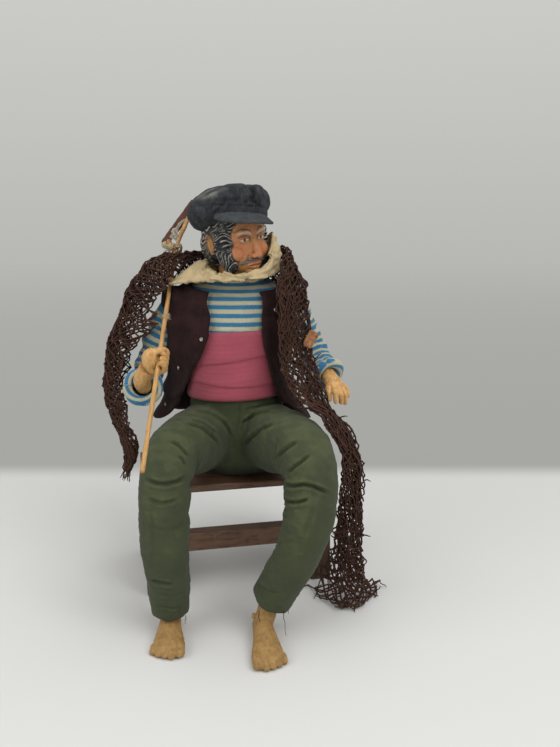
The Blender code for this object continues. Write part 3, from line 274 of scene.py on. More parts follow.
def ball(centre, radii, turn=None, segments=24, rings=16):
    """Ellipsoid as (points, faces)."""
    polar = np.pi * np.arange(1, rings) / rings
    around = 2 * np.pi * np.arange(segments) / segments
    p, a = np.meshgrid(polar, around, indexing="ij")
    body = np.stack([np.sin(p) * np.cos(a), np.sin(p) * np.sin(a), np.cos(p)], -1).reshape(-1, 3)
    points = np.concatenate([[(0, 0, 1.0)], body, [(0, 0, -1.0)]])
    turn = np.eye(3) if turn is None else np.array(turn)
    points = np.array(centre, float) + (points * np.array(radii)) @ turn.T
    faces = [(0, 1 + j, 1 + (j + 1) % segments) for j in range(segments)]
    for i in range(rings - 2):
        for j in range(segments):
            a, b, k = 1 + i * segments, 1 + (i + 1) * segments, (j + 1) % segments
            faces.append((a + j, b + j, b + k, a + k))
    low = 1 + (rings - 2) * segments
    faces += [(len(points) - 1, low + (j + 1) % segments, low + j) for j in range(segments)]
    return points, faces


def wall(grid, thickness, closed=False):
    """Grid of points, rows by columns by 3, as cloth of that thickness, which may vary, with its rim closed."""
    rows, columns = grid.shape[:2]
    down = np.gradient(grid, axis=0)
    across = (np.roll(grid, -1, axis=1) - np.roll(grid, 1, axis=1)) / 2 if closed else np.gradient(grid, axis=1)
    normal = np.cross(across, down)
    normal /= np.maximum(np.linalg.norm(normal, axis=2, keepdims=True), 1e-9)
    half = np.broadcast_to(np.asarray(thickness, float), (rows, columns))[:, :, None] / 2
    points = np.concatenate([(grid + normal * half).reshape(-1, 3), (grid - normal * half).reshape(-1, 3)])
    under, width = rows * columns, columns if closed else columns - 1
    faces = []
    for i in range(rows - 1):
        for j in range(width):
            k = (j + 1) % columns
            cell = (i * columns + j, (i + 1) * columns + j, (i + 1) * columns + k, i * columns + k)
            faces += [cell[::-1], tuple(under + c for c in cell)]
    rim = [[(0, j), (0, (j + 1) % columns)] for j in range(width)]
    rim += [[(rows - 1, (j + 1) % columns), (rows - 1, j)] for j in range(width)]
    if not closed:
        rim += [[(i + 1, 0), (i, 0)] for i in range(rows - 1)]
        rim += [[(i, columns - 1), (i + 1, columns - 1)] for i in range(rows - 1)]
    for (a, b), (c, d) in rim:
        p, q = a * columns + b, c * columns + d
        faces.append((p, q, under + q, under + p))
    return points, faces


def ring(line, radius, sides=6):
    """Closed strand along a closed line of points."""
    points, faces = string(np.concatenate([line, line[:1]]), radius, sides, len(line) + 1, ends=False)
    count = len(line)
    points = points[: count * sides]
    faces = [tuple(i % (count * sides) for i in face) for face in faces]
    return points, faces


def placed(shape, turn, centre):
    points, faces = shape
    return np.asarray(points) @ turn.T + np.array(centre, float), faces


def turned(yaw=0.0, nod=0.0, roll=0.0):
    """Rotation matrix: roll about Y, then nod about X, then yaw about Z, in degrees."""
    turn = (
        Matrix.Rotation(math.radians(yaw), 3, "Z")
        @ Matrix.Rotation(math.radians(nod), 3, "X")
        @ Matrix.Rotation(math.radians(roll), 3, "Y")
    )
    return np.array(turn)


# Meshes


def to_frame(points):
    return (np.asarray(points, float) + ORIGIN) * MM


def piece(name, shapes, finish=None, flat=None):
    """One object from shapes of (points, faces) in millimetres."""
    mesh = bpy.data.meshes.new(name)
    points, faces, base = [], [], 0
    for shape_points, shape_faces in shapes:
        points.append(np.asarray(shape_points, float))
        faces += [tuple(base + i for i in face) for face in shape_faces]
        base += len(shape_points)
    mesh.from_pydata(to_frame(np.concatenate(points)).tolist(), [], faces)
    mesh.update()
    thing = bpy.data.objects.new(name, mesh)
    bpy.context.scene.collection.objects.link(thing)
    if flat is None:
        mesh.shade_smooth()
    else:
        mesh.set_sharp_from_angle(angle=math.radians(flat))
    if finish:
        mesh.materials.append(finish)
    return thing


def outward(thing):
    work = bmesh.new()
    work.from_mesh(thing.data)
    bmesh.ops.recalc_face_normals(work, faces=work.faces)
    work.to_mesh(thing.data)
    work.free()
    return thing


def settle(thing):
    """Replaces an object's mesh by what its modifiers make of it."""
    bpy.context.view_layer.update()
    graph = bpy.context.evaluated_depsgraph_get()
    result = bpy.data.meshes.new_from_object(thing.evaluated_get(graph))
    thing.modifiers.clear()
    thing.data = result
    return thing


def fused(name, shapes, voxel, relax=4):
    """One lump from overlapping shapes, remeshed evenly and softened."""
    lump = piece(name, shapes)
    remesh = lump.modifiers.new("fuse", "REMESH")
    remesh.mode = "VOXEL"
    remesh.voxel_size = voxel * MM
    if relax:
        soften = lump.modifiers.new("soften", "SMOOTH")
        soften.factor = 0.5
        soften.iterations = relax
    return settle(lump)


def cut(target, shapes, folded=False):
    """Takes each shape out of the target, which may fold over itself."""
    for shape in shapes:
        other = outward(piece("cutter", [shape]))
        step = target.modifiers.new("cut", "BOOLEAN")
        step.object = other
        step.operation = "DIFFERENCE"
        step.solver = "EXACT"
        step.use_self = folded
        settle(target)
        bpy.data.objects.remove(other)
    return target


def spots_of(thing):
    """Vertex places in the figure's frame, in mm, and their normals."""
    count = len(thing.data.vertices)
    points, normals = np.zeros(count * 3), np.zeros(count * 3)
    thing.data.vertices.foreach_get("co", points)
    thing.data.vertex_normals.foreach_get("vector", normals)
    return points.reshape(-1, 3) / MM - ORIGIN, normals.reshape(-1, 3)


def move_to(thing, points):
    thing.data.vertices.foreach_set("co", to_frame(points).ravel())
    thing.data.update()
    return thing


def paint(thing, name, values):
    """A number or a vector for each vertex, which materials read by name."""
    values = np.asarray(values, float)
    kind = "FLOAT_VECTOR" if values.ndim == 2 else "FLOAT"
    layer = thing.data.attributes.new(name, kind, "POINT")
    layer.data.foreach_set("vector" if values.ndim == 2 else "value", values.ravel())


def dress(thing, finish):
    thing.data.materials.clear()
    thing.data.materials.append(finish)
    thing.data.shade_smooth()
    return thing


def settle_in(thing, *nodes):
    """The piece rides on the figure, and stands for these CAD nodes."""
    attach(thing, "root")
    if nodes:
        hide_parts(*nodes)
    return thing


# Shader maths


class Wire:
    """A shader socket that takes part in sums."""

    def __init__(self, shader, socket):
        self.shader, self.socket = shader, socket

    def maths(self, operation, *values):
        return self.shader.add("ShaderNodeMath", {"operation": operation}, dict(enumerate(values)))

    def __add__(self, other):
        return self.maths("ADD", self, other)

    def __radd__(self, other):
        return self.maths("ADD", other, self)

    def __sub__(self, other):
        return self.maths("SUBTRACT", self, other)

    def __rsub__(self, other):
        return self.maths("SUBTRACT", other, self)

    def __mul__(self, other):
        return self.maths("MULTIPLY", self, other)

    def __truediv__(self, other):
        return self.maths("DIVIDE", self, other)

    def sin(self):
        return self.maths("SINE", self)

    def fract(self):
        return self.maths("FRACT", self)

    def absolute(self):
        return self.maths("ABSOLUTE", self)

    def step(self, low, high):
        """0 below low and 1 above high, with a soft slope between."""
        values = {"Value": self, "From Min": low, "From Max": high, "To Min": 0.0, "To Max": 1.0}
        return self.shader.add("ShaderNodeMapRange", {"interpolation_type": "SMOOTHSTEP"}, values)


class Finish:
    """A material under way, with its Principled shader."""

    def __init__(self, name, roughness=0.8, metallic=0.0, specular=0.35, sheen=0.0):
        self.material = bpy.data.materials.new(name)
        self.material.use_nodes = True
        self.tree = self.material.node_tree
        self.shader = self.tree.nodes["Principled BSDF"]
        self.shader.inputs["Roughness"].default_value = roughness
        self.shader.inputs["Metallic"].default_value = metallic
        self.shader.inputs["Specular IOR Level"].default_value = specular
        if sheen:
            self.shader.inputs["Sheen Weight"].default_value = sheen
            self.shader.inputs["Sheen Roughness"].default_value = 0.6

    def add(self, kind, settings=None, values=None, output=0):
        """A node of that type, its settings first and then its sockets, as the wire of one output."""
        node = self.tree.nodes.new(kind)
        for key, value in (settings or {}).items():
            if key == "stops":
                ramp = node.color_ramp
                while len(ramp.elements) < len(value):
                    ramp.elements.new(0.5)
                for element, (place, colour) in zip(ramp.elements, value):
                    element.position, element.color = place, (*colour, 1.0)
            else:
                setattr(node, key, value)
        for key, value in (values or {}).items():
            if isinstance(value, Wire):
                self.tree.links.new(value.socket, node.inputs[key])
            else:
                node.inputs[key].default_value = value
        return Wire(self, node.outputs[output])

    def place(self):
        """Place in the figure's frame, in metres, the same at every pose."""
        return self.add("ShaderNodeTexCoord", output="Object")

    def painted(self, name, output="Fac"):
        return self.add("ShaderNodeAttribute", {"attribute_name": name}, output=output)

    def parts(self, vector):
        node = self.tree.nodes.new("ShaderNodeSeparateXYZ")
        self.tree.links.new(vector.socket, node.inputs[0])
        return [Wire(self, out) for out in node.outputs]

    def stretched(self, vector, scale, turn=(0, 0, 0)):
        return self.add("ShaderNodeMapping", values={"Vector": vector, "Scale": scale, "Rotation": turn})

    def noise(self, size, vector=None, detail=3.0, rough=0.55, warp=0.0):
        """Cloudy noise from 0 to 1 whose patches are about that many mm across."""
        values = {
            "Vector": vector or self.place(), "Scale": 1 / (size * MM), "Detail": detail, "Roughness": rough,
            "Distortion": warp
        }
        return self.add("ShaderNodeTexNoise", values=values)

    def mixed(self, share, first, second):
        """Colours, mixed by share."""
        node = self.tree.nodes.new("ShaderNodeMix")
        node.data_type = "RGBA"
        for index, value in ((0, share), (6, first), (7, second)):
            if isinstance(value, Wire):
                self.tree.links.new(value.socket, node.inputs[index])
            elif index:
                node.inputs[index].default_value = (*value, 1.0)
            else:
                node.inputs[index].default_value = value
        return Wire(self, node.outputs[2])

    def ramp(self, value, stops):
        return self.add("ShaderNodeValToRGB", {"stops": stops}, {"Fac": value}, "Color")

    def done(self, colour, roughness=None, relief=None, depth=0.2):
        """Joins the wires to the shader. depth is the relief's height in mm."""
        self.tree.links.new(colour.socket, self.shader.inputs["Base Color"])
        if roughness is not None:
            self.tree.links.new(roughness.socket, self.shader.inputs["Roughness"])
        if relief is not None:
            values = {"Height": relief, "Distance": depth * MM, "Strength": 1.0}
            bump = self.add("ShaderNodeBump", values=values)
            self.tree.links.new(bump.socket, self.shader.inputs["Normal"])
        return self.material


def rgb(code):
    """Linear colour from a hexadecimal sRGB one."""
    parts = [int(code[i : i + 2], 16) / 255 for i in (0, 2, 4)]
    return tuple(c / 12.92 if c <= 0.04045 else ((c + 0.055) / 1.055) ** 2.4 for c in parts)


def shade(colour, by):
    return tuple(min(1.0, c * by) for c in colour)


# Finishes

FINISH_STRIPE = 5.0  # mm of knit for one blue and one cream stripe in the finish


def knit_finish():
    """Striped jersey stitch with painted shade between the rows. Attribute "knit" holds mm around and mm along
    the knit.
    """
    colours = bpy.context.scene.santon_colours
    knit = Finish("striped_knit", roughness=0.85, sheen=0.15)
    around, along, _ = knit.parts(knit.painted("knit", "Vector"))
    wobble = knit.noise(5.0, detail=2.0) - 0.5
    stitch = (around * (2 * math.pi / 0.9)).sin()
    edge = along + stitch * 0.22 + wobble * 0.5
    blue = ((edge / FINISH_STRIPE).fract() - 0.5).absolute().step(0.235, 0.275)
    row = (along / 0.72 + stitch * 0.18).fract()
    loop = (row - 0.5).absolute() * 2.0
    yarn = knit.noise(0.35, detail=2.0)
    sky = knit.mixed(knit.noise(9.0), tuple(colours.jersey_blue), shade(tuple(colours.jersey_blue), 0.68))
    cream = knit.mixed(knit.noise(6.0), tuple(colours.jersey_cream), shade(tuple(colours.jersey_cream), 0.78))
    cloth = knit.mixed(blue, sky, cream)
    # painted shade: the cloth is darkened towards black in the dips between the rows of loops
    pale = knit.mixed(loop.step(0.45, 1.0) * 0.35, cloth, knit.mixed(0.55, cloth, (0.01, 0.02, 0.03)))
    fuzz = knit.mixed(yarn.step(0.62, 0.8) * 0.3, pale, rgb("d8d6c4"))
    relief = (1.0 - loop) * 0.6 + stitch * 0.25 + yarn * 0.35
    return knit.done(fuzz, relief=relief, depth=0.28)


def woven(name, colour, light, thread=0.55, rubbed_and_lit_attribute=None, sheen=0.1, patch=14.0, depth=0.12, contrast=0.35):
    """Plain weave with uneven dye, painted shade where the threads dip, and paler rubbed patches with painted
    light and shade where an attribute is given.
    """
    cloth = Finish(name, roughness=0.88, sheen=sheen)
    place = cloth.place()
    x, y, z = cloth.parts(place)
    turn = 2 * math.pi / (thread * MM)
    warp = ((x + y * 0.35) * turn).sin()
    weft = ((z + y * 0.5) * turn).sin()
    weave = warp * 0.5 + weft * 0.5
    slub = cloth.noise(1.0, cloth.stretched(place, (1, 1, 0.6)), detail=3.0)
    dye = cloth.noise(patch, detail=4.0, rough=0.6)
    base = cloth.mixed(dye.step(0.3, 0.75), shade(colour, 1 - contrast), colour)
    base = cloth.mixed(slub.step(0.5, 0.85) * 0.25, base, light)
    if rubbed_and_lit_attribute:
        # the attribute holds rubbed patches together with painted light and shade, mixed in as the lighter
        # colour
        worn = cloth.painted(rubbed_and_lit_attribute) * (0.6 + cloth.noise(3.0) * 0.8)
        base = cloth.mixed(worn.step(0.25, 0.95) * 0.75, base, light)
    # painted shade: the cloth is darkened where the weave dips between its threads
    base = cloth.mixed(weave.step(-0.2, -0.9) * 0.4, base, shade(colour, 0.45))
    return cloth.done(base, relief=weave * 0.5 + slub * 0.6, depth=depth)


def felt(name, colour, light, worn=None, patch=8.0, speck=0.5):
    """Matted wool with short nap, paler where it has rubbed and where a painted highlight is given by
    attribute.
    """
    wool = Finish(name, roughness=0.95, specular=0.15, sheen=0.03)
    nap = wool.noise(0.45, detail=4.0, rough=0.7)
    hair = wool.noise(0.8, wool.stretched(wool.place(), (1.0, 0.35, 0.2), (0.4, 0.2, 0.9)), detail=4.0)
    cloud = wool.noise(patch, detail=4.0, rough=0.6)
    base = wool.mixed(cloud.step(0.35, 0.7), shade(colour, 0.6), colour)
    base = wool.mixed(hair.step(0.52, 0.8) * speck, base, light)
    if worn:
        # the attribute holds rubbed felt and painted highlight together; both make the felt paler
        rub = wool.painted(worn) * (0.4 + nap * 1.1)
        base = wool.mixed(rub.step(0.3, 1.0) * 0.8, base, light)
    return wool.done(base, relief=nap * 0.7 + hair * 0.5, depth=0.18)


def twine(name, colour, light, twist=0.9, rough=0.8):
    """Spun cord with a visible twist and loose fibres."""
    cord = Finish(name, roughness=rough, specular=0.3)
    place = cord.place()
    fibre = cord.noise(0.5, detail=3.0)
    x, y, z = cord.parts(place)
    ply = ((x + y + z) * (2 * math.pi / (twist * MM)) + fibre * 4.0).sin()
    base = cord.mixed(cord.noise(7.0).step(0.3, 0.75), shade(colour, 0.6), colour)
    base = cord.mixed(fibre.step(0.5, 0.75) * 0.5, base, light)
    base = cord.mixed(ply.step(0.1, 1.0) * 0.35, base, shade(colour, 0.4))
    return cord.done(base, relief=ply * 0.4 + fibre, depth=0.15)


def wood(name, dark, light, worn_colour, grain=(0.06, 1.0, 1.0), turn=(0, 0, 0), size=2.2, rough=0.5):
    """Stained or bare wood with grain along one way, pores and scuffs."""
    plank = Finish(name, roughness=rough, specular=0.4)
    place = plank.stretched(plank.place(), grain, turn)
    rings = plank.noise(size, place, detail=5.0, rough=0.65, warp=0.6)
    pores = plank.noise(0.35, place, detail=3.0)
    blot = plank.noise(16.0, detail=3.0)
    base = plank.ramp(rings, [(0.28, dark), (0.5, shade(light, 0.75)), (0.72, light)])
    base = plank.mixed(pores.step(0.58, 0.75) * 0.55, base, shade(dark, 0.45))
    base = plank.mixed(blot.step(0.4, 0.75) * 0.4, base, shade(dark, 0.9))
    rub = plank.noise(5.0, detail=5.0, rough=0.7).step(0.56, 0.72)
    base = plank.mixed(rub * 0.55, base, worn_colour)
    gloss = rough - 0.12 + rings * 0.25
    return plank.done(base, roughness=gloss, relief=rings * 0.8 + pores * 0.4, depth=0.15)


def clay(name, colour, light, dark, chip=None, dirt=0.5):
    """Painted fired clay: brush marks, patches and specks of grime, chips down to the pale body."""
    paint_coat = Finish(name, roughness=0.55, specular=0.4)
    brush = paint_coat.noise(1.4, paint_coat.stretched(paint_coat.place(), (1.0, 0.6, 0.5)), detail=4.0)
    cloud = paint_coat.noise(6.0, detail=4.0, rough=0.65)
    grit = paint_coat.noise(0.6, detail=4.0, rough=0.7)
    base = paint_coat.mixed(brush.step(0.3, 0.7), colour, light)
    base = paint_coat.mixed(cloud.step(0.45, 0.7) * dirt, base, dark)
    base = paint_coat.mixed(grit.step(0.62, 0.72) * 0.5 * dirt, base, shade(dark, 0.5))
    if chip:
        off = paint_coat.noise(3.0, detail=5.0, rough=0.7).step(0.66, 0.69)
        base = paint_coat.mixed(off * 0.85, base, chip)
    rough = 0.5 + grit * 0.35
    return paint_coat.done(base, roughness=rough, relief=brush * 0.3 + grit * 0.5 + cloud * 0.4, depth=0.16)


def face_finish():
    """Painted clay of the head, whose skin, hair, whiskers and features, and painted shade in its recesses, are
    painted by attribute.
    """
    colours = bpy.context.scene.santon_colours
    head = Finish("painted_head", roughness=0.5, specular=0.4)
    skin_colour = tuple(colours.skin)
    brush = head.noise(1.2, detail=4.0)
    cloud = head.noise(7.0, detail=3.0)
    skin = head.mixed(brush.step(0.3, 0.7), skin_colour, shade(skin_colour, 1.25))
    skin = head.mixed(cloud.step(0.45, 0.75) * 0.3, skin, rgb("8a5a30"))
    skin = head.mixed(head.painted("rosy") * (0.55 + brush * 0.6), skin, rgb("b0442c"))
    skin = head.mixed(head.painted("tan"), skin, rgb("bd8d55"))
    # painted shade in the recesses of the face
    skin = head.mixed(head.painted("hollow") * 0.75, skin, rgb("5a2c18"))
    hair = head.mixed(head.noise(0.7).step(0.4, 0.7), rgb("15161a"), rgb("2d2c2f"))
    hair = head.mixed(head.painted("grey"), hair, rgb("c2beb2"))
    base = head.mixed(head.painted("hair"), skin, hair)
    base = head.mixed(head.painted("white"), base, rgb("cbbfa8"))
    base = head.mixed(head.painted("iris"), base, rgb("4a5a4c"))
    base = head.mixed(head.painted("line"), base, rgb("1c120e"))
    base = head.mixed(head.painted("lip"), base, rgb("9a4a38"))
    grit = head.noise(0.5, detail=4.0)
    return head.done(base, roughness=0.42 + grit * 0.3, relief=brush * 0.4 + grit * 0.4, depth=0.1)


# The body under the clothes: (x, y, z, half width, half depth)


def above_seat(points):
    return [(p[0], p[1], p[2] + SEAT, *p[3:]) for p in points]


TORSO = above_seat([
    (0, 6, 0.4, 24, 21), (0, 5, 6, 29, 25), (0, 3, 22, 30.5, 27), (0, 0.5, 38, 28.5, 25.5),
    (0, -1, 54, 26.5, 24), (0, -1, 70, 25, 22.5), (0, -1, 87, 26.5, 21), (0, 0, 99, 33, 19.5),
    (0, 0, 106.5, 34.5, 17.5), (0, 0, 112.5, 28, 15), (0, -1, 117, 19, 12.5), (0, -3, 121, 12, 11.5),
])
RIGHT_ARM = above_seat([
    (-18, 1, 101.5, 8, 9.5), (-27, 2, 101.5, 9.2, 10.3), (-36, 2, 98, 9.5, 10), (-44, 2, 84, 9, 9.5),
    (-50, 0, 69, 8.8, 8.8), (-53, -7, 58, 8.8, 8.6), (-53, -19, 54.5, 8.8, 8.4), (-51, -29, 57, 8.8, 8.4),
    (-49.5, -37, 60.5, 9.2, 8.8),
])
LEFT_ARM = above_seat([
    (18, 1, 101.5, 8, 9.5), (26, 2, 101.5, 9.2, 10.3), (33.5, 2, 98, 9.5, 10), (40, 2, 86, 9, 9.5),
    (45, 0, 76, 8.6, 8.8), (50, -6, 67.5, 8.4, 8.4), (54.5, -14, 62.5, 8.2, 8.2),
])
RIGHT_LEG = above_seat([
    (-12, 4, 24, 15, 19), (-16.5, -8, 24.5, 17, 20), (-22, -30, 27, 17.2, 19), (-27.2, -50, 29.5, 15.8, 16.5),
    (-30.3, -64, 29.5, 14.3, 14.8), (-32, -74, 23.5, 13.4, 13.2), (-32.8, -79.5, 13, 13.2, 12.6),
    (-33.2, -81, 0, 13, 12.4), (-33.2, -80, -18, 12.4, 12), (-33, -76, -36, 11.3, 11.1),
    (-32.5, -72.5, -54.4, 10.3, 10.6),
])
LEFT_LEG = above_seat([
    (12, 4, 24, 15, 19), (17.5, -8, 24.5, 17.5, 20), (26, -29, 27, 18.5, 19), (34.5, -49, 30, 17, 17),
    (39.5, -64, 30, 15.2, 15), (42, -74, 24, 14.2, 13.4), (42.5, -80, 13, 13.6, 12.8),
    (41, -82, 0, 13, 12.6), (36.5, -81, -16.3, 12, 12.2), (29, -78, -33, 11.3, 11.6),
    (21.5, -74.5, -47.6, 11, 11),
])
TORSO_FINE = curve_through(TORSO, 160)


def torso_at(z):
    """Middle x and y, half width and half depth of the torso at these heights above the floor."""
    return [np.interp(z, TORSO_FINE[:, 2], TORSO_FINE[:, c]) for c in (0, 1, 3, 4)]


def torso_tube(low, high, sides=72, step=1.5):
    """The torso between two heights above the seat."""
    heights = np.linspace(low, high, int((high - low) / step) + 1) + SEAT
    angles = 2 * math.pi * np.arange(sides) / sides
    points = []
    for z in heights:
        x, y, w, d = torso_at(z)
        points.append(np.stack([x + w * np.cos(angles), y + d * np.sin(angles), np.full(sides, z)], 1))
    return np.concatenate(points), loft_faces(len(heights), sides)


class Limb:
    """A leg or an arm as a tube that points are measured against."""

    def __init__(self, knots, count=260):
        self.path = curve_through(knots, count)
        steps = np.gradient(self.path[:, :3], axis=0)
        self.tangents = steps / np.linalg.norm(steps, axis=1)[:, None]
        self.far = np.concatenate([[0], np.cumsum(np.linalg.norm(np.diff(self.path[:, :3], axis=0), axis=1))])

    def measure(self, points, grow=0.0):
        """For each point: share along, angle round, mm outside the surface, mm along, and its offset."""
        nearest = np.zeros(len(points), int)
        for start in range(0, len(points), 4000):
            part = points[start : start + 4000]
            nearest[start : start + 4000] = np.argmin(
                ((part[:, None, :] - self.path[None, :, :3]) ** 2).sum(2), axis=1
            )
        tangent = self.tangents[nearest]
        across = np.array((1.0, 0, 0)) - tangent * tangent[:, :1]
        across /= np.linalg.norm(across, axis=1)[:, None]
        front = np.cross(tangent, across)
        offset = points - self.path[nearest, :3]
        u, v = (offset * across).sum(1), (offset * front).sum(1)
        half_width, half_depth = self.path[nearest, 3] + grow, self.path[nearest, 4] + grow
        size = np.hypot(u / half_width, v / half_depth)
        away = (size - 1) * (half_width + half_depth) / 2
        around = np.arctan2(v / half_depth, u / half_width)
        outward_way = across * u[:, None] + front * v[:, None]
        return nearest / (len(self.path) - 1), around, away, self.far[nearest], (size, outward_way, nearest)

    def push_clear(self, points, margin):
        """The points, moved out to that distance from the limb where they are nearer or inside."""
        _, _, _, _, (size, way, nearest) = self.measure(points, margin)
        inside = (size < 1) & (size > 1e-6) & (nearest >= 0.15 * len(self.path))
        moved = points.copy()
        moved[inside] += way[inside] * (1 / size[inside] - 1)[:, None]
        return moved


LIMBS = {
    "right_arm": Limb(RIGHT_ARM), "left_arm": Limb(LEFT_ARM), "right_leg": Limb(RIGHT_LEG),
    "left_leg": Limb(LEFT_LEG)
}


def crease(s, angle, at, facing, length, width, depth, slant=0.0):
    """A fold of cloth, as a valley between two low ridges, at a place along and around a tube."""
    turn = (angle - facing + math.pi) % (2 * math.pi) - math.pi
    away = (s - at - slant * turn) / width
    fade = bell(turn / length)
    return depth * fade * (0.55 * bell(np.abs(away) - 1.5) - bell(away))


def leg_folds(s, angle, mirror):
    angle = math.pi - angle if mirror else angle
    back = -math.pi / 2
    return (
        crease(s, angle, 0.17, 0.9, 0.9, 0.022, 1.6, 0.05)
        + crease(s, angle, 0.29, 0.5, 0.7, 0.020, 1.3, 0.04)
        + crease(s, angle, 0.45, back + 0.9, 1.1, 0.020, 1.9, -0.03)
        + crease(s, angle, 0.50, back + 0.2, 1.3, 0.014, 1.5, 0.02)
        + crease(s, angle, 0.545, back + 0.5, 1.2, 0.018, 1.9, 0.0)
        + crease(s, angle, 0.60, back - 0.4, 1.0, 0.012, 1.0, -0.02)
        + crease(s, angle, 0.64, 0.0, 0.9, 0.018, 1.0, 0.03)
        + crease(s, angle, 0.72, back, 1.3, 0.010, 0.6, 0.01)
        + crease(s, angle, 0.90, back, 1.0, 0.012, 0.8, 0.01)
    )


TROUSER_FOLDS = [
    ([(240, 402), (239.5, 416), (236, 434)], 1.1, -1.0),
    ([(244, 401), (246, 417), (243, 436)], 0.8, 0.4),
    ([(241, 425), (255, 415), (272, 410)], 1.7, -1.8),
    ([(242.5, 447.5), (257.5, 432.5), (275, 422.5)], 1.8, -1.9),
    ([(242, 410), (262, 406), (281, 402)], 1.1, -1.0),
    ([(189, 419), (205, 425), (217.5, 435)], 1.7, -1.6),
    ([(185, 422.5), (200, 427.5), (212.5, 437.5), (220, 447.5)], 1.8, -1.9),
    ([(196, 410), (212, 414), (226, 426), (232, 440)], 1.6, -1.4),
    ([(170, 441), (179, 446), (185, 452.5), (190, 457.5)], 1.5, -1.6),
    ([(179, 456), (186, 465)], 1.4, -1.4),
    ([(160, 432), (172, 430), (184, 434)], 1.8, -0.4),
    ([(275, 460), (285, 450), (297.5, 441)], 1.7, -1.7),
    ([(285, 475), (297.5, 465), (311, 454)], 1.6, -1.6),
    ([(281, 482.5), (290, 486), (305, 485), (332, 495)], 1.8, -2.1),
    ([(278, 496), (285, 501), (297.5, 502.5), (310, 499)], 1.7, -1.9),
    ([(279, 515), (287, 517)], 1.6, -0.8),
    ([(143, 478), (158, 484), (176, 482), (188, 476)], 2.0, -1.5),
    ([(146, 498), (160, 503), (178, 500)], 1.8, -1.0),
    ([(147, 524), (164, 530), (184, 527)], 1.8, -0.3),
    ([(264, 538), (280, 543), (296, 541)], 1.8, -0.3),
    ([(149, 579), (162, 583), (175, 585)], 1.6, -1.1),
    ([(152, 592), (168, 596), (187, 592)], 1.3, -0.25),
    ([(153, 605), (168, 608), (186, 607)], 0.9, -0.5),
    ([(252, 581), (266, 590), (286, 596)], 0.9, -0.5),
    ([(150, 505), (153, 540), (152, 570)], 2.4, -0.3),
    ([(316, 470), (312, 510), (300, 545)], 2.4, -0.3),
]


def end_of(knots, share):
    """The last share of a limb's knots."""
    fine = curve_through(knots, 80)
    return fine[int(80 * (1 - share)) :]


def make_trousers():
    """Linen trousers over the padded hips and legs, flat where they sit and open at the hems."""
    shapes = [torso_tube(0.3, 57.0), tube(RIGHT_LEG, 48, 100), tube(LEFT_LEG, 48, 100)]
    trousers = fused("trousers_cloth", shapes, 0.9, relax=4)
    points, normals = spots_of(trousers)
    relief = np.zeros(len(points))
    for name, mirror in (("right_leg", False), ("left_leg", True)):
        share, angle, away, _, _ = LIMBS[name].measure(points)
        relief += (
            leg_folds(share, angle, mirror) * smooth(1 - np.abs(away) / 4.0) * smooth((share - 0.24) / 0.10)
        )
    drawn = drawn_folds(points, normals, TROUSER_FOLDS)
    fork = np.exp(-((((points - (-1, -44, 156)) / (7, 12, 7)) ** 2).sum(1)))
    relief += 1.25 * drawn - 2.4 * fork
    relief += 0.35 * waves(points, 13, 3) + 0.16 * waves(points * (1, 1, 1.8), 5.5, 4)
    seat_contact = (points[:, 2] < SEAT + 2.0) & (points[:, 1] > -38)
    relief = np.where(seat_contact, np.minimum(relief, 0.0), relief)
    points = points + normals * relief[:, None]
    points[:, 2] = np.where(seat_contact, np.maximum(points[:, 2], SEAT + 0.15), points[:, 2])
    move_to(trousers, points)
    rooms = [tube(end_of(knots, 0.17), 40, 20, grow=-1.5, reach=(0, 4)) for knots in (RIGHT_LEG, LEFT_LEG)]
    cut(trousers, rooms)
    points, normals = spots_of(trousers)
    worn = 0.5 * patches(points, [
        ((-28, -66, 107), (15, 16, 9), 0.35), ((39, -62, 108), (17, 20, 9), 0.5),
        ((27, -40, 112), (14, 16, 9), 0.2),
        ((-33, -92, 70), (7, 6, 22), 0.3), ((40, -94, 72), (7, 6, 20), 0.3),
        ((-20, -38, 110), (12, 14, 9), 0.1),
    ])
    # painted shade in the valleys of the drawn folds, and painted highlight on their ridges
    worn += 0.28 + 0.5 * np.clip(drawn_folds(points, normals, TROUSER_FOLDS), -1.0, 0.5)
    # painted light on the faces turned up and to the front
    paint(trousers, "worn", np.clip(worn + 0.3 * smooth((lit_side_of(points, normals) - 0.1) / 0.4), 0, 1))
    return dress(
        trousers,
        woven(
            "green_linen", rgb("3e452d"), rgb("4f5635"), thread=0.62, rubbed_and_lit_attribute="worn", depth=0.10, contrast=0.22,
            sheen=0.04
        )
    )


def lit_side_of(points, normals):
    """Painted light: how much the front faces up and towards the light side, roughly, as 0 to 1."""
    return np.clip(normals[:, 2] * 0.6 - normals[:, 1] * 0.4, 0, 1) * (0.5 + 0.5 * waves(points, 9, 11))


STRIPE = 4.85  # mm for one blue and one cream stripe on the jersey
JERSEY_FOLDS = [
    ([(206, 287), (220, 294), (238, 296), (258, 290)], 2.2, -0.6),
    ([(210, 281), (228, 286), (250, 284)], 1.8, 0.4),
    ([(204, 322), (206, 306), (213, 292)], 2.0, -0.4),
    ([(207, 330), (226, 326), (256, 330)], 2.0, -0.35),
    ([(153, 307), (160, 316), (157, 330)], 2.2, -0.8),
    ([(150, 322), (160, 330), (163, 338)], 1.8, -0.6),
    ([(127, 368), (138, 366), (150, 372)], 2.0, -0.9),
    ([(130, 382), (140, 378), (150, 384)], 1.8, -0.8),
    ([(313, 336), (322, 344), (328, 352)], 1.8, -0.7),
    ([(312, 352), (322, 358), (330, 366)], 1.8, -0.7),
    ([(306, 320), (312, 330), (310, 342)], 1.8, -0.6),
]


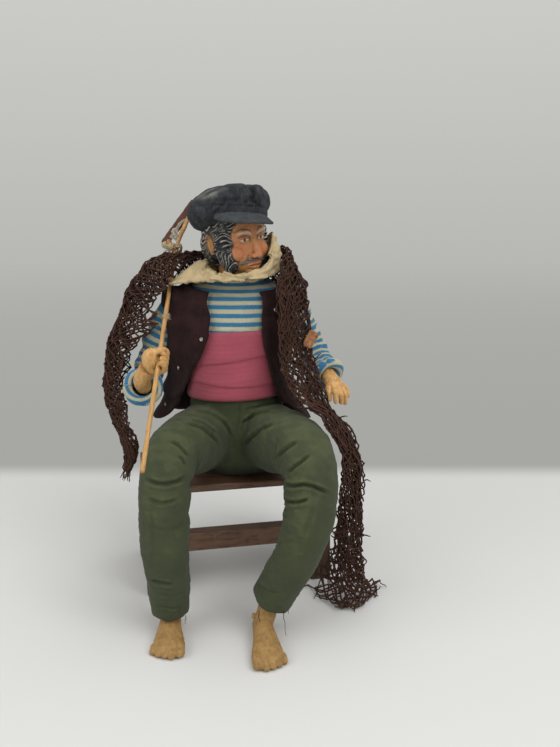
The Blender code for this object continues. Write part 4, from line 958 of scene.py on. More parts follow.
def make_jersey():
    """Knitted jersey over the padded torso and arms, each cuff turned back and hollow at the wrist."""
    sides, rings, rim_ring = 40, 16, 13
    shapes = [torso_tube(58.2, 117.5)]
    cuffs = []
    for knots in (RIGHT_ARM, LEFT_ARM):
        shapes.append(tube(knots, 40, 70))
        cuff = end_of(knots, 0.1)
        cuff[:, 3:] += np.interp(
            np.linspace(0, 1, len(cuff)), [0, 0.25, 0.8, 1], [-0.6, 0.9, 1.0, 0.1]
        )[:, None]
        cuffs.append(tube(cuff, sides, rings))
        rim = cuffs[-1][0][sides * rim_ring : sides * (rim_ring + 1)]
        middle = cuff[int(len(cuff) * rim_ring / (rings - 1)), :3]
        rim = middle + (rim - middle) * 0.86
        cuffs.append(ring(list(rim), 2.9, 12))
    jersey = fused("jersey_knit", shapes + cuffs, 0.76, relax=3)
    points, normals = spots_of(jersey)
    _, bends = knit_lines(points, normals)
    relief = drawn_folds(points, normals, JERSEY_FOLDS) + 0.22 * waves(points, 7, 21) + bends
    move_to(jersey, points + normals * relief[:, None])
    rooms = [tube(end_of(knots, 0.14), 36, 14, grow=-3.2, reach=(0, 5)) for knots in (RIGHT_ARM, LEFT_ARM)]
    cut(jersey, rooms)
    paint(jersey, "knit", knit_lines(*spots_of(jersey))[0])
    return dress(jersey, knit_finish())


def knit_lines(points, normals):
    """For each point: mm around and along the knit, and the relief of the sleeves' folds."""
    knit = np.stack(
        [np.arctan2(points[:, 1], points[:, 0]) * 26, points[:, 2] - 175.1 + STRIPE / 2, np.zeros(len(points))],
        1
    )
    bends = np.zeros(len(points))
    front = smooth(-normals[:, 1] / 0.5)
    knit[:, 1] += (
        front * 2.6 * bell((points[:, 2] - 186) / 8) * np.cos(np.clip((points[:, 0] - 2) / 16, -1.57, 1.57))
    )
    for name in ("right_arm", "left_arm"):
        share, angle, away, along, _ = LIMBS[name].measure(points)
        sleeve = (
            ((away < 1.6) | (away < 4.5) & (share > 0.85)) & (share > 0.16)
            & ((np.abs(points[:, 0]) > 27) | (points[:, 2] < 160) & (np.abs(points[:, 0]) > 30))
        )
        rolled = smooth((share - 0.9) / 0.04) * (1.3 * away + 3 * STRIPE * angle / (2 * math.pi))
        knit[sleeve, 0], knit[sleeve, 1] = angle[sleeve] * 8.5, (along + rolled)[sleeve]
        bend = 0.55 * np.sin(46 * share + 0.9 * np.sin(angle)) * np.sin(math.pi * np.clip(share, 0, 1))
        bend += 0.4 * np.sin(80 * share + 2.1 * np.sin(angle + 1)) * np.sin(math.pi * np.clip(share, 0, 1))
        bends += np.where(sleeve, bend, 0)
    knit[:, 1] *= FINISH_STRIPE / STRIPE
    return knit, bends


def make_sash():
    """Three turns of cotton wound round the waist, each edge lapping over the turn below it."""
    columns, rows = 240, 70
    angle = 2 * math.pi * np.arange(columns) / columns
    t = np.linspace(0, 1, rows)[:, None]
    a = angle[None, :]
    x_front = np.cos(a) * 27
    low = 49.0 + SEAT + 0.9 * np.cos(a + 0.4)
    z = low + 39.0 * t
    upper = 139.9 + 0.165 * x_front
    lower = 126.2 + 1.0 * np.sin(2 * a + 1)
    lap = np.zeros_like(z)
    for edge, rise in ((lower, 0.8), (upper, 0.9)):
        lap += rise * smooth((z - edge) / 0.5) * (1 - 0.75 * smooth((z - edge) / 11))
    wrinkle = 0.09 * np.sin(z * 0.8 + 1.6 * np.sin(2 * a + 0.5)) * (0.5 + 0.5 * np.sin(3 * a + z * 0.1))
    wrinkle += 0.05 * np.sin(z * 2.3 + 2.3 * np.sin(3 * a + 1.2))
    x, y, w, d = torso_at(z)
    edge_in = 0.9 * smooth((0.035 - t) / 0.035) + 0.9 * smooth((t - 0.97) / 0.03)
    out = 2.15 + lap + wrinkle - edge_in
    outer = np.stack([x + (w + out) * np.cos(a), y + (d + out) * np.sin(a), z], 2)
    sash = outward(piece("sash_cotton", [wall(outer, 1.1, closed=True)]))
    return dress(
        sash,
        woven("rose_cotton", rgb("a34a58"), rgb("bb6874"), thread=0.42, patch=16, depth=0.06, contrast=0.16)
    )


def coat_points(s, t, lift=0.0):
    """Middle of the waistcoat's cloth, s from -1 to 1 from one front edge to the other, t from top to hem."""
    s, t = np.asarray(s, float), np.asarray(t, float)
    side = np.abs(s)
    front = np.maximum(0.0, (side - 0.72) / 0.28)
    hem = 31.0 + 21.0 * front**1.5 + 1.2 * np.sin(19 * s)
    top = 113.0 - 2.0 * front + 4.0 * bell((side - 0.6) / 0.16)
    z = top + (hem - top) * t**1.35
    right = np.interp(z, [40, 50, 56, 64, 70, 75, 87, 97, 112], [66, 64, 60, 52, 43, 36, 24.5, 21.5, 24])
    left = np.interp(z, [40, 50, 59, 68, 75, 90, 105, 112], [49, 48, 45, 42, 38, 29.5, 25.5, 25])
    opening = np.radians(np.where(s > 0, left, right))
    angle = math.pi / 2 - s * (math.pi - opening)
    x, y, w, d = torso_at(z + SEAT)
    over_sash = 4.0 * np.clip((97 - z) / 6, 0, 1) * np.clip((z - 44) / 5, 0, 1)
    skirt = np.maximum(0.0, (58 - z) / 27)
    flare = 9.0 * skirt * bell((side - 0.62) / 0.24) + 3.0 * skirt
    fold = 0.9 * skirt * np.sin(26 * s) + 0.5 * np.sin(9 * s + 5 * t)
    shoulder = 2.0 * np.clip((z - 92) / 10, 0, 1)
    bulge = np.interp(z, [38, 50, 75, 95, 108], [9, 11.5, 10.5, 5.5, 0]) * bell((s + 0.62) / 0.18)
    out = 1.9 + shoulder + bulge + np.maximum(over_sash, 2.5 * skirt) + flare + fold + lift
    points = np.stack([x + (w + out) * np.cos(angle), y + (d + out) * np.sin(angle), z + SEAT], -1)
    shape = points.shape
    points = points.reshape(-1, 3)
    for leg in ("right_leg", "left_leg"):
        points = LIMBS[leg].push_clear(points, 2.6)
    for arm in ("right_arm", "left_arm"):
        share, _, _, _, (size, way, _) = LIMBS[arm].measure(points, 2.0)
        rising = way[:, 2] / np.maximum(np.linalg.norm(way, axis=1), 1e-6)
        over = smooth((0.40 - share) / 0.1) * smooth((rising - 0.1) / 0.4) * smooth((size - 0.5) / 0.25)
        moved = way * (1 / np.clip(size, 0.5, 1) - 1)[:, None]
        points = points + moved * over[:, None]
    return points.reshape(shape)


COAT_FOLDS = [
    ([(178, 300), (186, 330), (184, 360)], 3.0, -0.5),
    ([(196, 292), (192, 320), (197, 350)], 2.6, 0.4),
    ([(172, 350), (184, 372), (182, 396)], 3.0, -0.6),
    ([(202, 300), (205, 320), (203, 345)], 1.4, -0.3),
    ([(268, 300), (272, 330), (270, 360)], 2.4, -0.5),
    ([(273, 352), (284, 376), (296, 402)], 2.6, -0.6),
]


def make_waistcoat():
    """Felt waistcoat, open in front and cut out for both arms."""
    s, t = np.meshgrid(np.linspace(-1, 1, 192), np.linspace(0, 1, 84))
    grid = coat_points(s, t)
    edge = np.minimum(1 - np.abs(s), np.minimum(t, 1 - t) * 0.8)
    thick = 1.3 + 0.5 * bell((edge - 0.03) / 0.02) - 0.7 * bell(edge / 0.008)
    coat = outward(piece("waistcoat_felt", [wall(grid, thick)]))
    cut(coat, [tube(arm, 40, 50, grow=1.2) for arm in (RIGHT_ARM, LEFT_ARM)], folded=True)
    points, normals = spots_of(coat)
    relief = drawn_folds(points, normals, COAT_FOLDS) + 0.12 * waves(points, 6, 31)
    move_to(coat, points + normals * np.clip(relief, -0.35, 0.9)[:, None])
    return dress(coat, felt("brown_felt", rgb("2f1b1b"), rgb("54393a"), patch=9, speck=0.3))


# Buttons: place from side to side and from top to hem, and mm out of the cloth
BUTTONS = [
    (-0.965, 0.526, 1.15), (-0.845, 0.703, 1.2), (-0.76, 0.917, 0.95), (0.931, 0.252, 1.85), (0.90, 0.72, 1.6)
]


def lathe(profile, way, foot, sides=20):
    """Turned shape from (radius, height) steps along a way from its foot."""
    way = unit(way)
    across = unit(np.cross(way, (0.3, 0.2, 0.9)))
    other = np.cross(way, across)
    angles = np.arange(sides) * 2 * math.pi / sides
    points = []
    for radius, height in profile:
        points.append(
            foot + way * height + radius * (np.outer(np.cos(angles), across) + np.outer(np.sin(angles), other))
        )
    return np.concatenate(points), loft_faces(len(profile), sides)


def make_buttons():
    """Small pressed metal buttons with a rim and a dished middle."""
    metal = Finish("tarnished_metal", roughness=0.35, metallic=1.0)
    stain = metal.noise(0.7, detail=4.0)
    colour = metal.mixed(stain.step(0.4, 0.7), rgb("c9c6bd"), rgb("6f6a60"))
    metal.done(colour, roughness=0.28 + stain * 0.35, relief=stain, depth=0.04)
    made = []
    for number, (s, t, lift) in enumerate(BUTTONS, 1):
        inner, outer = coat_points([s], [t], lift)[0], coat_points([s], [t], lift + 1.0)[0]
        way = unit((outer - inner) * (1, 1, 0))
        profile = [
            (0.5, -0.2), (0.95, 0.0), (1.1, 0.25), (1.12, 0.6), (1.0, 0.8), (0.82, 0.82), (0.7, 0.62),
            (0.3, 0.58), (0.05, 0.6)
        ]
        button = outward(piece(f"coat_button_{number}", [lathe(profile, way, inner)], metal.material))
        made.append((button, f"waistcoat_button_{number}"))
    return made


SCARF = [
    # angle, then radius and height above the seat of the tucked edge, the crest, the slope and the hem
    (0, 18.5, 125, 22, 143.5, 24.8, 137, 26, 124), (45, 14, 124, 18, 139, 22, 131, 22.5, 122),
    (90, 13, 122, 14.5, 131, 16.5, 125, 17.5, 118), (135, 13, 121, 16, 129, 20, 124, 22.5, 119.5),
    (165, 13, 121, 17, 129, 23, 125, 28, 119.5), (181, 14, 121, 18, 128, 26, 123, 33.5, 117.6),
    (194, 14, 120, 18, 127, 28, 121, 38.5, 114.6), (215, 14, 118.5, 18, 124, 25, 121.5, 30, 116.6),
    (250, 14, 117, 18.5, 120, 23.5, 120.5, 25, 117.3), (285, 14, 117, 18.5, 120, 23, 121, 25, 118.3),
    (320, 17.5, 118, 21.5, 125, 25, 125.5, 26.5, 119.5),
]
SCARF_FOLDS = [
    ([(182, 292), (194, 284), (210, 281), (226, 283)], 1.3, -0.8),
    ([(198, 270), (206, 276), (212, 284)], 1.3, -0.7),
    ([(214, 268), (226, 275), (242, 279), (256, 276)], 1.2, -0.8),
    ([(190, 274), (200, 270), (208, 262)], 1.2, 0.7),
    ([(262, 262), (268, 250), (270, 238)], 1.2, -0.7),
    ([(176, 287), (190, 277), (206, 268), (216, 262)], 2.0, -0.7),
    ([(186, 288), (200, 279), (214, 276), (232, 279)], 1.8, -0.6),
    ([(205, 255), (212, 264), (224, 270), (238, 274)], 1.8, -0.7),
    ([(202, 262), (208, 270), (216, 274)], 1.6, 0.5),
    ([(232, 268), (244, 272), (254, 270)], 1.6, -0.5),
    ([(272, 234), (276, 244), (270, 258), (262, 268)], 1.8, -0.6),
    ([(266, 228), (270, 240), (266, 254)], 1.6, -0.5),
]


def make_scarf():
    """Kerchief rolled round the neck, from its tucked edge over the crest to the frayed hem."""
    columns, rows = 320, 48
    table = np.array(SCARF + [(360, *SCARF[0][1:])], float)
    grid = np.zeros((rows, columns, 3))
    t = np.linspace(0, 1, rows)
    rng = np.random.default_rng(5)
    fray = np.convolve(rng.normal(size=columns), [0.25, 0.5, 0.25], "same")
    for j in range(columns):
        degrees = 360 * j / columns
        angle = math.radians(degrees)
        values = np.array([np.interp(degrees, table[:, 0], table[:, c]) for c in range(1, 9)]).reshape(4, 2)
        line = curve_through([(r, z, 0.0) for r, z in values], rows)
        r, z = line[:, 0], line[:, 1]
        z = (
            z + 0.9 * np.sin(5 * angle + 6 * t) * np.sin(math.pi * t)
            + 0.5 * np.sin(17 * angle + 9 * t) * np.sin(math.pi * t)
        )
        z = z + 0.25 * fray[j] * smooth((t - 0.93) / 0.07)
        r = (
            r + 0.8 * np.sin(9 * angle + 3 * t) * t * np.where(r < 27, 1, 0.3)
            + 0.3 * np.sin(23 * angle - 5 * t) * t
        )
        grid[:, j] = np.stack([r * math.cos(angle), -3 + r * math.sin(angle), z + SEAT], 1)
    grid = clear_of_head(grid.reshape(-1, 3), 2.7).reshape(grid.shape)
    scarf = outward(piece("scarf_cotton", [wall(grid, 1.0, closed=True)]))
    points, normals = spots_of(scarf)
    relief = (
        1.9 * drawn_folds(points, normals, SCARF_FOLDS) + 0.55 * waves(points * (1, 1, 2.2), 6.0, 41)
        + 0.14 * waves(points, 2.4, 42)
    )
    move_to(scarf, points + normals * np.clip(relief, -0.8, 1.4)[:, None])
    cloth = woven(
        "ecru_cotton", rgb("cbb58a"), rgb("e6dab8"), thread=0.42, patch=7, depth=0.09, contrast=0.28, sheen=0.05
    )
    return dress(scarf, cloth)


# Head: x across, -y forward, z up from its middle, in millimetres

HEAD_YAW, HEAD_NOD, HEAD_ROLL, CAP_YAW = 42.0, 6.0, -8.0, 20.0
HEAD_CENTRE = (1.0, -7.5, 209.5)
HEAD_TURN = turned(HEAD_YAW, HEAD_NOD, HEAD_ROLL)
HEAD_BALLS = [
    ((0, 2, 3.5), (16.2, 18.8, 17)), ((0, -4.5, -6), (13.6, 12.8, 15)), ((0, -6.5, -12.5), (10.8, 9.8, 8)),
    ((0, -13.4, -17.3), (4.6, 3.6, 3.6)), ((8.2, -11.8, -6.5), (4.6, 4.2, 4.4)),
    ((-8.2, -11.8, -6.5), (4.6, 4.2, 4.4)),
    ((0, 6.5, -4), (16.4, 13.5, 13.5)), ((0, -13.6, -12.8), (6.2, 3.4, 4.6)),
]
WHISKERS = [
    ((-13.2, -6.5, -6), (4.6, 6, 12)), ((13.2, -6.5, -6), (4.6, 6, 12)), ((-11.4, -9.2, -14), (3.6, 4.8, 5.4)),
    ((11.6, -9.6, -14.5), (5.2, 6.4, 7.4)), ((0, -15.6, -11.6), (8.4, 4.2, 3.2)),
    ((10.4, -12.4, -14), (3.0, 3.0, 4.0)),
]
HEAD_TUBES = [
    [(0, -15.2, 3, 1.6, 1.5), (0, -18.3, -3.0, 1.8, 1.8), (0, -20.0, -7.2, 2.3, 2.0)],
    [(-14.8, -4.5, 3, 2.4, 3.4), (-14.0, -6, -6, 2.4, 4.2), (-11.2, -9.5, -15, 2.4, 3.8)],
    [(14.8, -4.5, 3, 2.4, 3.4), (14.0, -6, -6, 2.4, 4.2), (11.2, -9.5, -15, 2.4, 3.8)],
]
FACE_PARTS = [
    ball((1.9, -18.6, -8.0), (1.5, 1.9, 1.3)), ball((-1.9, -18.6, -8.0), (1.5, 1.9, 1.3)),
    tube(
        [(-10.4, -12.4, 4.4, 1.3, 1.0), (-6.4, -15.4, 5.6, 1.7, 1.3), (-2.4, -16.1, 4.4, 1.3, 1.1)], 14, 14,
        domes=True
    ),
    tube(
        [(10.4, -12.4, 4.4, 1.3, 1.0), (6.4, -15.4, 5.6, 1.7, 1.3), (2.4, -16.1, 4.4, 1.3, 1.1)], 14, 14,
        domes=True
    ),
    ball((5.8, -13.2, 0.9), (3.3, 2.9, 2.7)), ball((-5.8, -13.2, 0.9), (3.3, 2.9, 2.7)),
    tube(
        [
            (-4.3, -16.0, -13.3, 0.8, 0.7), (-1.8, -17.0, -12.9, 1.0, 0.9), (0, -17.1, -13.1, 0.9, 0.8),
            (1.8, -17.0, -12.9, 1.0, 0.9), (4.3, -16.0, -13.3, 0.8, 0.7)
        ],
        12, 16, domes=True
    ),
    tube(
        [(-3.8, -16.0, -14.1, 0.8, 0.7), (0, -17.0, -14.9, 1.2, 1.0), (3.8, -16.0, -14.1, 0.8, 0.7)], 12, 14,
        domes=True
    ),
]


def on_head(points):
    """From the head's own frame to the figure's."""
    return np.asarray(points, float) @ HEAD_TURN.T + HEAD_CENTRE


def in_head(points):
    """From the figure's frame to the head's own."""
    return (np.asarray(points, float) - HEAD_CENTRE) @ HEAD_TURN


def clear_of_head(points, margin):
    """The points, moved out of the head, the hair and the whiskers."""
    spots = in_head(points)
    for middle, radii in 3 * (HEAD_BALLS[:4] + HEAD_BALLS[6:7] + WHISKERS):
        reach = np.array(radii) + margin
        offset = (spots - middle) / reach
        size = np.linalg.norm(offset, axis=1)
        inside = (size < 1) & (size > 1e-6)
        spots[inside] = middle + offset[inside] / size[inside, None] * reach
    return on_head(spots)


def strand_height(u, v, pitch):
    """Wavy ridges like combed locks: u across the locks and v along them, in mm."""
    swing = u + 0.55 * np.sin(v * 0.9) + 0.35 * np.sin(v * 0.42 + 1.0)
    return np.cos(swing * 2 * math.pi / pitch)


def make_head():
    """Head and neck in one piece of painted clay, with modelled hair, whiskers, moustache and chin beard."""
    shapes = [ball(c, r, None, 40, 28) for c, r in HEAD_BALLS]
    shapes += [tube(k, 20, 14, domes=True) for k in HEAD_TUBES] + FACE_PARTS
    for side in (-1, 1):
        rim = [
            (16.0, 3.6, -1.0), (17.3, 4.4, 1.4), (17.6, 2.4, 2.6), (17.0, 0.4, 1.0), (16.4, -0.2, -3.0),
            (16.2, 0.6, -6.6)
        ]
        shapes.append(string([(side * x, y, z) for x, y, z in rim], [0.7, 1.0, 1.1, 0.9, 0.8, 1.2], 10, 26))
        shapes.append(ball((side * 15.6, 1.6, -2.6), (1.3, 3.0, 4.4)))
    shapes = [placed(shape, HEAD_TURN, HEAD_CENTRE) for shape in shapes]
    neck = [
        (0, -2.2, SEAT + 115.4, 8.5, 8.5), (-0.1, -2.3, SEAT + 118.5, 8.5, 8.5),
        (-0.5, -3.5, SEAT + 124, 8.5, 8.5), (0, -4, SEAT + 134, 9, 10)
    ]
    shapes.append(tube(neck, 32, 14))
    head = fused("painted_head", shapes, 0.33, relax=3)
    points, normals = spots_of(head)
    p, n = in_head(points), normals @ HEAD_TURN
    x, y, z = p.T
    side = np.abs(x)
    front = smooth((-n[:, 1] - 0.1) / 0.5)

    def near(place, radius):
        return np.exp(-((((p - place) / radius) ** 2).sum(1)))

    def pair(place, radius):
        return near(place, radius) + near((-place[0], *place[1:]), radius)

    # hairline runs from the temple down before the ear to the whiskers on the jaw
    line_y = np.interp(z, [-16, -10, -4, 2, 7, 12, 16], [-14.5, -14.5, -12.6, -11.4, -12.0, -14.5, -17])
    hair = smooth((y - line_y) / 0.8) * smooth((side - 7) / 3) * smooth((z + 18.5) / 2)
    hair = np.maximum(hair, smooth((y - 3) / 2) * smooth((z + 15) / 2))
    hair *= 1 - bell(((side - 16.8) / 2.2) ** 2 + ((y - 1.6) / 3.4) ** 2 + ((z + 1.8) / 5.4) ** 2)
    low = smooth((-z - 14.5) / 2) * smooth((y + 3) / 3)
    hair *= 1 - low
    # locks sweep back over the ears and curl on the jaw
    u = z * 0.85 + y * 0.42 + 1.6 * np.sin(y * 0.35 + 0.8 * z * 0.3)
    v = y * 0.9 - z * 0.4
    jaw = smooth((-z - 3) / 4) * smooth((-y - 1) / 4)
    u = u * (1 - jaw) + jaw * (y + 1.2 * np.sin(z * 0.55))
    v = v * (1 - jaw) + jaw * z
    locks = strand_height(u, v, 1.3) * 0.65 + strand_height(u + 0.7, v, 0.85) * 0.35
    # moustache: two wings from under the nose
    droop = -10.2 - 0.035 * side**2
    wing = bell((z - droop) / 1.35) * smooth((8.6 - side) / 2) * smooth((-y - 10) / 3) * front
    bristle = strand_height(side * 0.55 + z * 0.9, side, 0.95)
    beard = near((0, -15.5, -19.0), (4.4, 4.2, 3.0)) * front
    brow = (
        bell((z - 5.6 + 0.10 * (side - 6) ** 2) / 1.0) * smooth((side - 1.6) / 1.2) * smooth((11.2 - side) / 2)
        * front
    )
    # eyes: an opening between two lids, with a calm level look
    ex, ez = side - 5.8, z - 0.9
    ball_reach = np.hypot(ex / 3.0, ez / 2.7)
    upper = 1.15 - 0.13 * ex**2
    lower = -0.95 + 0.10 * ex**2
    slit = smooth((upper - ez) / 0.22) * smooth((ez - lower) / 0.22) * smooth((2.9 - np.abs(ex)) / 0.3) * front
    lid = bell((ez - upper - 0.35) / 0.4) + 0.7 * bell((ez - lower + 0.3) / 0.35)
    lid *= smooth((3.5 - np.abs(ex)) / 0.6) * front
    fold = bell((ez - upper - 1.25) / 0.3) * smooth((3.6 - np.abs(ex)) / 0.8) * front
    iris = smooth((1.15 - np.hypot(ex, ez - 0.1)) / 0.2) * slit
    pupil = smooth((0.5 - np.hypot(ex, ez - 0.1)) / 0.15) * slit
    mouth = bell((z + 13.65 + 0.02 * x**2) / 0.28) * smooth((4.6 - side) / 0.8) * front * smooth((-y - 13) / 2)
    lips = bell((z + 13.8) / 1.15) * smooth(4.2 - side) * front * smooth((-y - 13.5) / 2)
    nostril = pair((1.6, -19.4, -9.1), (0.8, 1.0, 0.6))
    cheek_line = (
        bell((side - 4.2 - 0.42 * (-8 - z)) / 0.7) * smooth((-z - 6.5) / 1.5) * smooth((z + 13) / 2) * front
    )
    relief = (
        hair * (0.7 + 0.5 * locks) + wing * (1.25 + 0.3 * bristle)
        + beard * (0.5 + 0.2 * strand_height(x, z, 1.0))
    )
    relief += (
        brow * (0.4 + 0.12 * strand_height(side * 0.8 - z, side, 0.8)) + lid * 0.38 - slit * 0.32 - fold * 0.2
    )
    relief += -mouth * 0.6 - nostril * 0.9 - cheek_line * 0.4 + 0.05 * waves(p, 2.2, 51)
    move_to(head, points + normals * relief[:, None])
    paint(head, "hair", np.clip(np.maximum(hair, wing * 1.3), 0, 1))
    streak = smooth((locks - 0.25) / 0.5) * smooth((waves(p, 3.2, 52) + 0.75) / 0.9)
    grey = hair * streak + wing * smooth((bristle - 0.1) / 0.5) * 0.7
    paint(head, "grey", np.clip(grey, 0, 1) * 0.85)
    paint(head, "white", np.clip(brow * 0.75 + slit * (1 - iris) * 0.8 + 0.25 * beard, 0, 1))
    paint(head, "iris", np.clip(iris, 0, 1))
    outline = bell((ez - upper) / 0.22) * smooth((3.0 - np.abs(ex)) / 0.4) * front * (ball_reach < 1.4)
    paint(head, "line", np.clip(pupil + 0.8 * outline + 0.9 * mouth + nostril + 0.3 * fold, 0, 1))
    paint(head, "lip", np.clip(lips * 0.75, 0, 1))
    rosy = 0.8 * pair((8.6, -13, -5.0), (5.4, 7, 5.6)) + 0.8 * near((0, -19.5, -6.5), (3.4, 3, 3))
    rosy += 0.35 * near((0, -16, 8.5), (9, 6, 4)) + 0.5 * pair((5.8, -14, 3.6), (4, 3, 1.4))
    paint(head, "rosy", np.clip(rosy * 0.62, 0, 1) * (1 - hair))
    tan = near((0, -15, -17.5), (8.5, 7, 4.6)) + pair((16.5, 1.6, -2), (2.5, 4, 6)) + smooth((-z - 17) / 3)
    paint(head, "tan", np.clip(tan, 0, 1) * (1 - wing))
    # painted shade in the eyelid folds, the cheek creases, at the inner corners of the eyes, in the ears and
    # between the moustache's bristles
    hollow = fold + cheek_line * 0.7 + pair((2.6, -16.5, 1.5), (1.0, 2, 2))
    hollow += 0.7 * pair((16.9, 1.4, -2.2), (1.6, 1.3, 2.6)) + 0.5 * wing * (1 - bristle)
    paint(head, "hollow", np.clip(hollow, 0, 1))
    return dress(head, face_finish())


CAP_FOLDS = [
    ([(250, 186), (253, 194), (250, 202)], 2.8, -2.6), ([(259, 186), (263, 195), (263, 206)], 1.5, -1.0),
    ([(213, 215), (225, 201), (219, 191)], 2.2, -1.2), ([(243, 204), (250, 201), (257, 203)], 1.5, -0.9),
    ([(214, 203), (226, 201), (243, 200)], 2.2, -0.8),
    ([(207, 211), (216, 206), (226, 206)], 1.8, -0.6),
    ([(220, 190), (219, 196), (226, 201)], 2.0, -0.5),
    ([(193, 203), (200, 206), (206, 213)], 2.2, -0.6),
    ([(190, 214), (197, 216), (203, 222)], 1.8, -0.6),
    ([(262, 192), (265, 198), (266, 205)], 1.6, -0.5),
    ([(225, 186), (238, 188), (249, 185)], 2.4, 0.4),
]


def make_cap():
    """Felt cap with a full crown that hangs to the back and to his right, its band and a stiff visor."""
    tilt, lean = turned(CAP_YAW, HEAD_NOD - 14, 3), turned(CAP_YAW, HEAD_NOD - 18, -17)
    base = np.array(HEAD_CENTRE) + HEAD_TURN @ np.array((0.8, 2.0, 11.2))
    band = [(0, 0, -3, 19.1, 22.1), (0, 0, 0, 19.5, 22.5), (0, 0, 6, 19.1, 22.1)]
    crown_centre = base + lean @ np.array((-1.5, 1.0, 6.3))
    puff = ball((-2.4, 0.8, 0.2), (20.4, 23.6, 12.2), None, 60, 40)
    lobes = [
        ball((12.9, -15.5, 230.0), (6.2, 9.5, 8.2)), ball((-11.2, -16.0, 225.0), (12.6, 9.0, 7.4)),
        ball((9.0, -2.0, 229.0), (12.5, 16.0, 9.5)), ball((2.0, -19.0, 230.5), (10.5, 9.0, 7.4))
    ]
    cap = fused(
        "cap_felt", [placed(puff, lean, crown_centre), placed(tube(band, 60, 12), tilt, base), *lobes], 0.5,
        relax=7
    )
    points, normals = spots_of(cap)
    local = (points - crown_centre) @ lean
    relief = drawn_folds(points, normals, CAP_FOLDS)
    angle = np.arctan2(local[:, 1], local[:, 0])
    rim = bell(local[:, 2] / 7)
    relief += (
        rim * (0.45 * np.sin(9 * angle + 0.4) + 0.3 * np.sin(17 * angle + 1.0)) + 0.45 * waves(points, 12, 61)
        + 0.12 * waves(points, 4, 62)
    )
    top = np.exp(-(((local[:, 0] - 4) / 9) ** 2 + ((local[:, 1] + 5) / 8) ** 2)) * (local[:, 2] > 0)
    relief -= 1.3 * top
    inner = (points - base) @ tilt
    seam = (
        bell((inner[:, 2] - 2.6) / 0.6) * (np.hypot(inner[:, 0] / 19.5, inner[:, 1] / 22.5) > 0.9)
        * smooth(-inner[:, 1] / 8)
    )
    relief -= 0.5 * seam
    move_to(cap, points + normals * np.clip(relief, -3.2, 1.2)[:, None])
    rooms = [
        ball((0, 2, 3.5), (17.3, 19.9, 18.1), None, 40, 28),
        ball((0, 6.5, -4), (17.5, 14.6, 14.6), None, 32, 22),
        ball((0, -5.5, 0), (14.2, 13.4, 11.0), None, 32, 20)
    ]
    cut(cap, [placed(room, HEAD_TURN, HEAD_CENTRE) for room in rooms])
    points, normals = spots_of(cap)
    # paler patches on the crown, which are rubbed felt and painted highlight together
    worn = patches(
        points,
        [
            ((-14, -22, 232), (8, 9, 6), 1.2), ((-6, -28, 236), (7, 8, 4), 0.8),
            ((15, -26, 236), (5, 7, 4), 0.8), ((2, -20, 240), (9, 9, 3), 0.5), ((-22, -8, 226), (4, 9, 6), 0.5)
        ]
    )
    # painted highlight on the front of the band, only on the part the front view sees
    seen_x = seen_at(points)[:, 0]
    band_highlight = smooth(inner_side(points, base, tilt)) * smooth((seen_x - 232) / 6) * smooth((264 - seen_x) / 4)
    paint(cap, "worn", np.clip(worn * (0.6 + 0.35 * waves(points, 5, 63)) + 0.3 * band_highlight, 0, 1))
    wool = felt("dark_felt", rgb("33363a"), rgb("7a7973"), worn="worn", patch=7, speck=0.25)
    return dress(cap, wool), make_visor(base, tilt)


def make_visor(base, tilt):
    """Stiff visor along the front of the cap's band, drooping to both ends."""
    columns, rows = 90, 26
    s, t = np.meshgrid(np.linspace(-1, 1, columns), np.linspace(0, 1, rows))
    angle = -math.pi / 2 + s * math.radians(46)
    out = 0.6 + 11.6 * t * (1 - np.abs(s) ** 3.2 * 0.9) + 0.3 * np.sin(4 * s) * t
    x, y = (19.1 + out) * np.cos(angle), (22.1 + out) * np.sin(angle)
    z = -1.6 - 5.4 * t - 1.6 * t * t + 3.8 * s * s * t + 0.3 * np.sin(5 * s + 1) * t
    grid = base + np.stack([x, y, z], -1) @ tilt.T
    thick = (
        1.3 * np.sqrt(np.clip(1 - np.maximum((t - 0.93) / 0.075, 0) ** 2, 0.05, 1))
        + 0.25 * bell((t - 0.9) / 0.04)
    )
    visor = outward(piece("cap_visor_felt", [wall(grid, thick)]))
    return dress(visor, felt("visor_felt", rgb("3e4145"), rgb("66686a"), patch=6, speck=0.4))


def inner_side(points, base, tilt):
    """How far points lie within the front of the cap's band, in mm."""
    p = (points - base) @ tilt
    return (
        np.minimum(np.minimum(p[:, 2] + 3.4, 3.4 - p[:, 2]), -p[:, 1] - 6)
        * (np.hypot(p[:, 0] / 19.8, p[:, 1] / 22.8) > 0.93)
    )


THIRD_TURN = 2.094  # radians

# Pole of the shrimp net, from its lower end to the fork

POLE_FOOT, POLE_HEAD = np.array((-39.7, -100.0, 100.8)), np.array((-36.9, 21.5, 203.8))
POLE_WAY = unit(POLE_HEAD - POLE_FOOT)
GRIP = np.array((-38.6, -47.5, 145.3))
BLADE_MIDDLE = np.array((-36.3, 36.2, 216.3))
BAR = unit((0.68, -0.626, 0.72))
FACING = unit(np.cross(BAR, POLE_WAY))
ACROSS = np.cross(FACING, BAR)
POLE_SIDE = unit(np.array((1.0, 0, 0)) - POLE_WAY * POLE_WAY[0])
POLE_FRONT = np.cross(POLE_WAY, POLE_SIDE)


def clay_hand(name, shapes, nails, knuckles, finish):
    """One hand, with nails sunk at (tip, way) and low knuckles."""
    hand = fused(name, shapes, 0.33, relax=3)
    points, normals = spots_of(hand)
    relief = 0.06 * waves(points, 2.0, 71)
    for tip, way in nails:
        far = np.linalg.norm(points - tip, axis=1)
        relief -= 0.16 * np.exp(-((far / 0.95) ** 6)) * ((normals @ way) > 0.2)
    for place in knuckles:
        far = np.linalg.norm(points - place, axis=1)
        relief += 0.22 * bell(far / 1.1)
    move_to(hand, points + normals * relief[:, None])
    return dress(hand, finish)


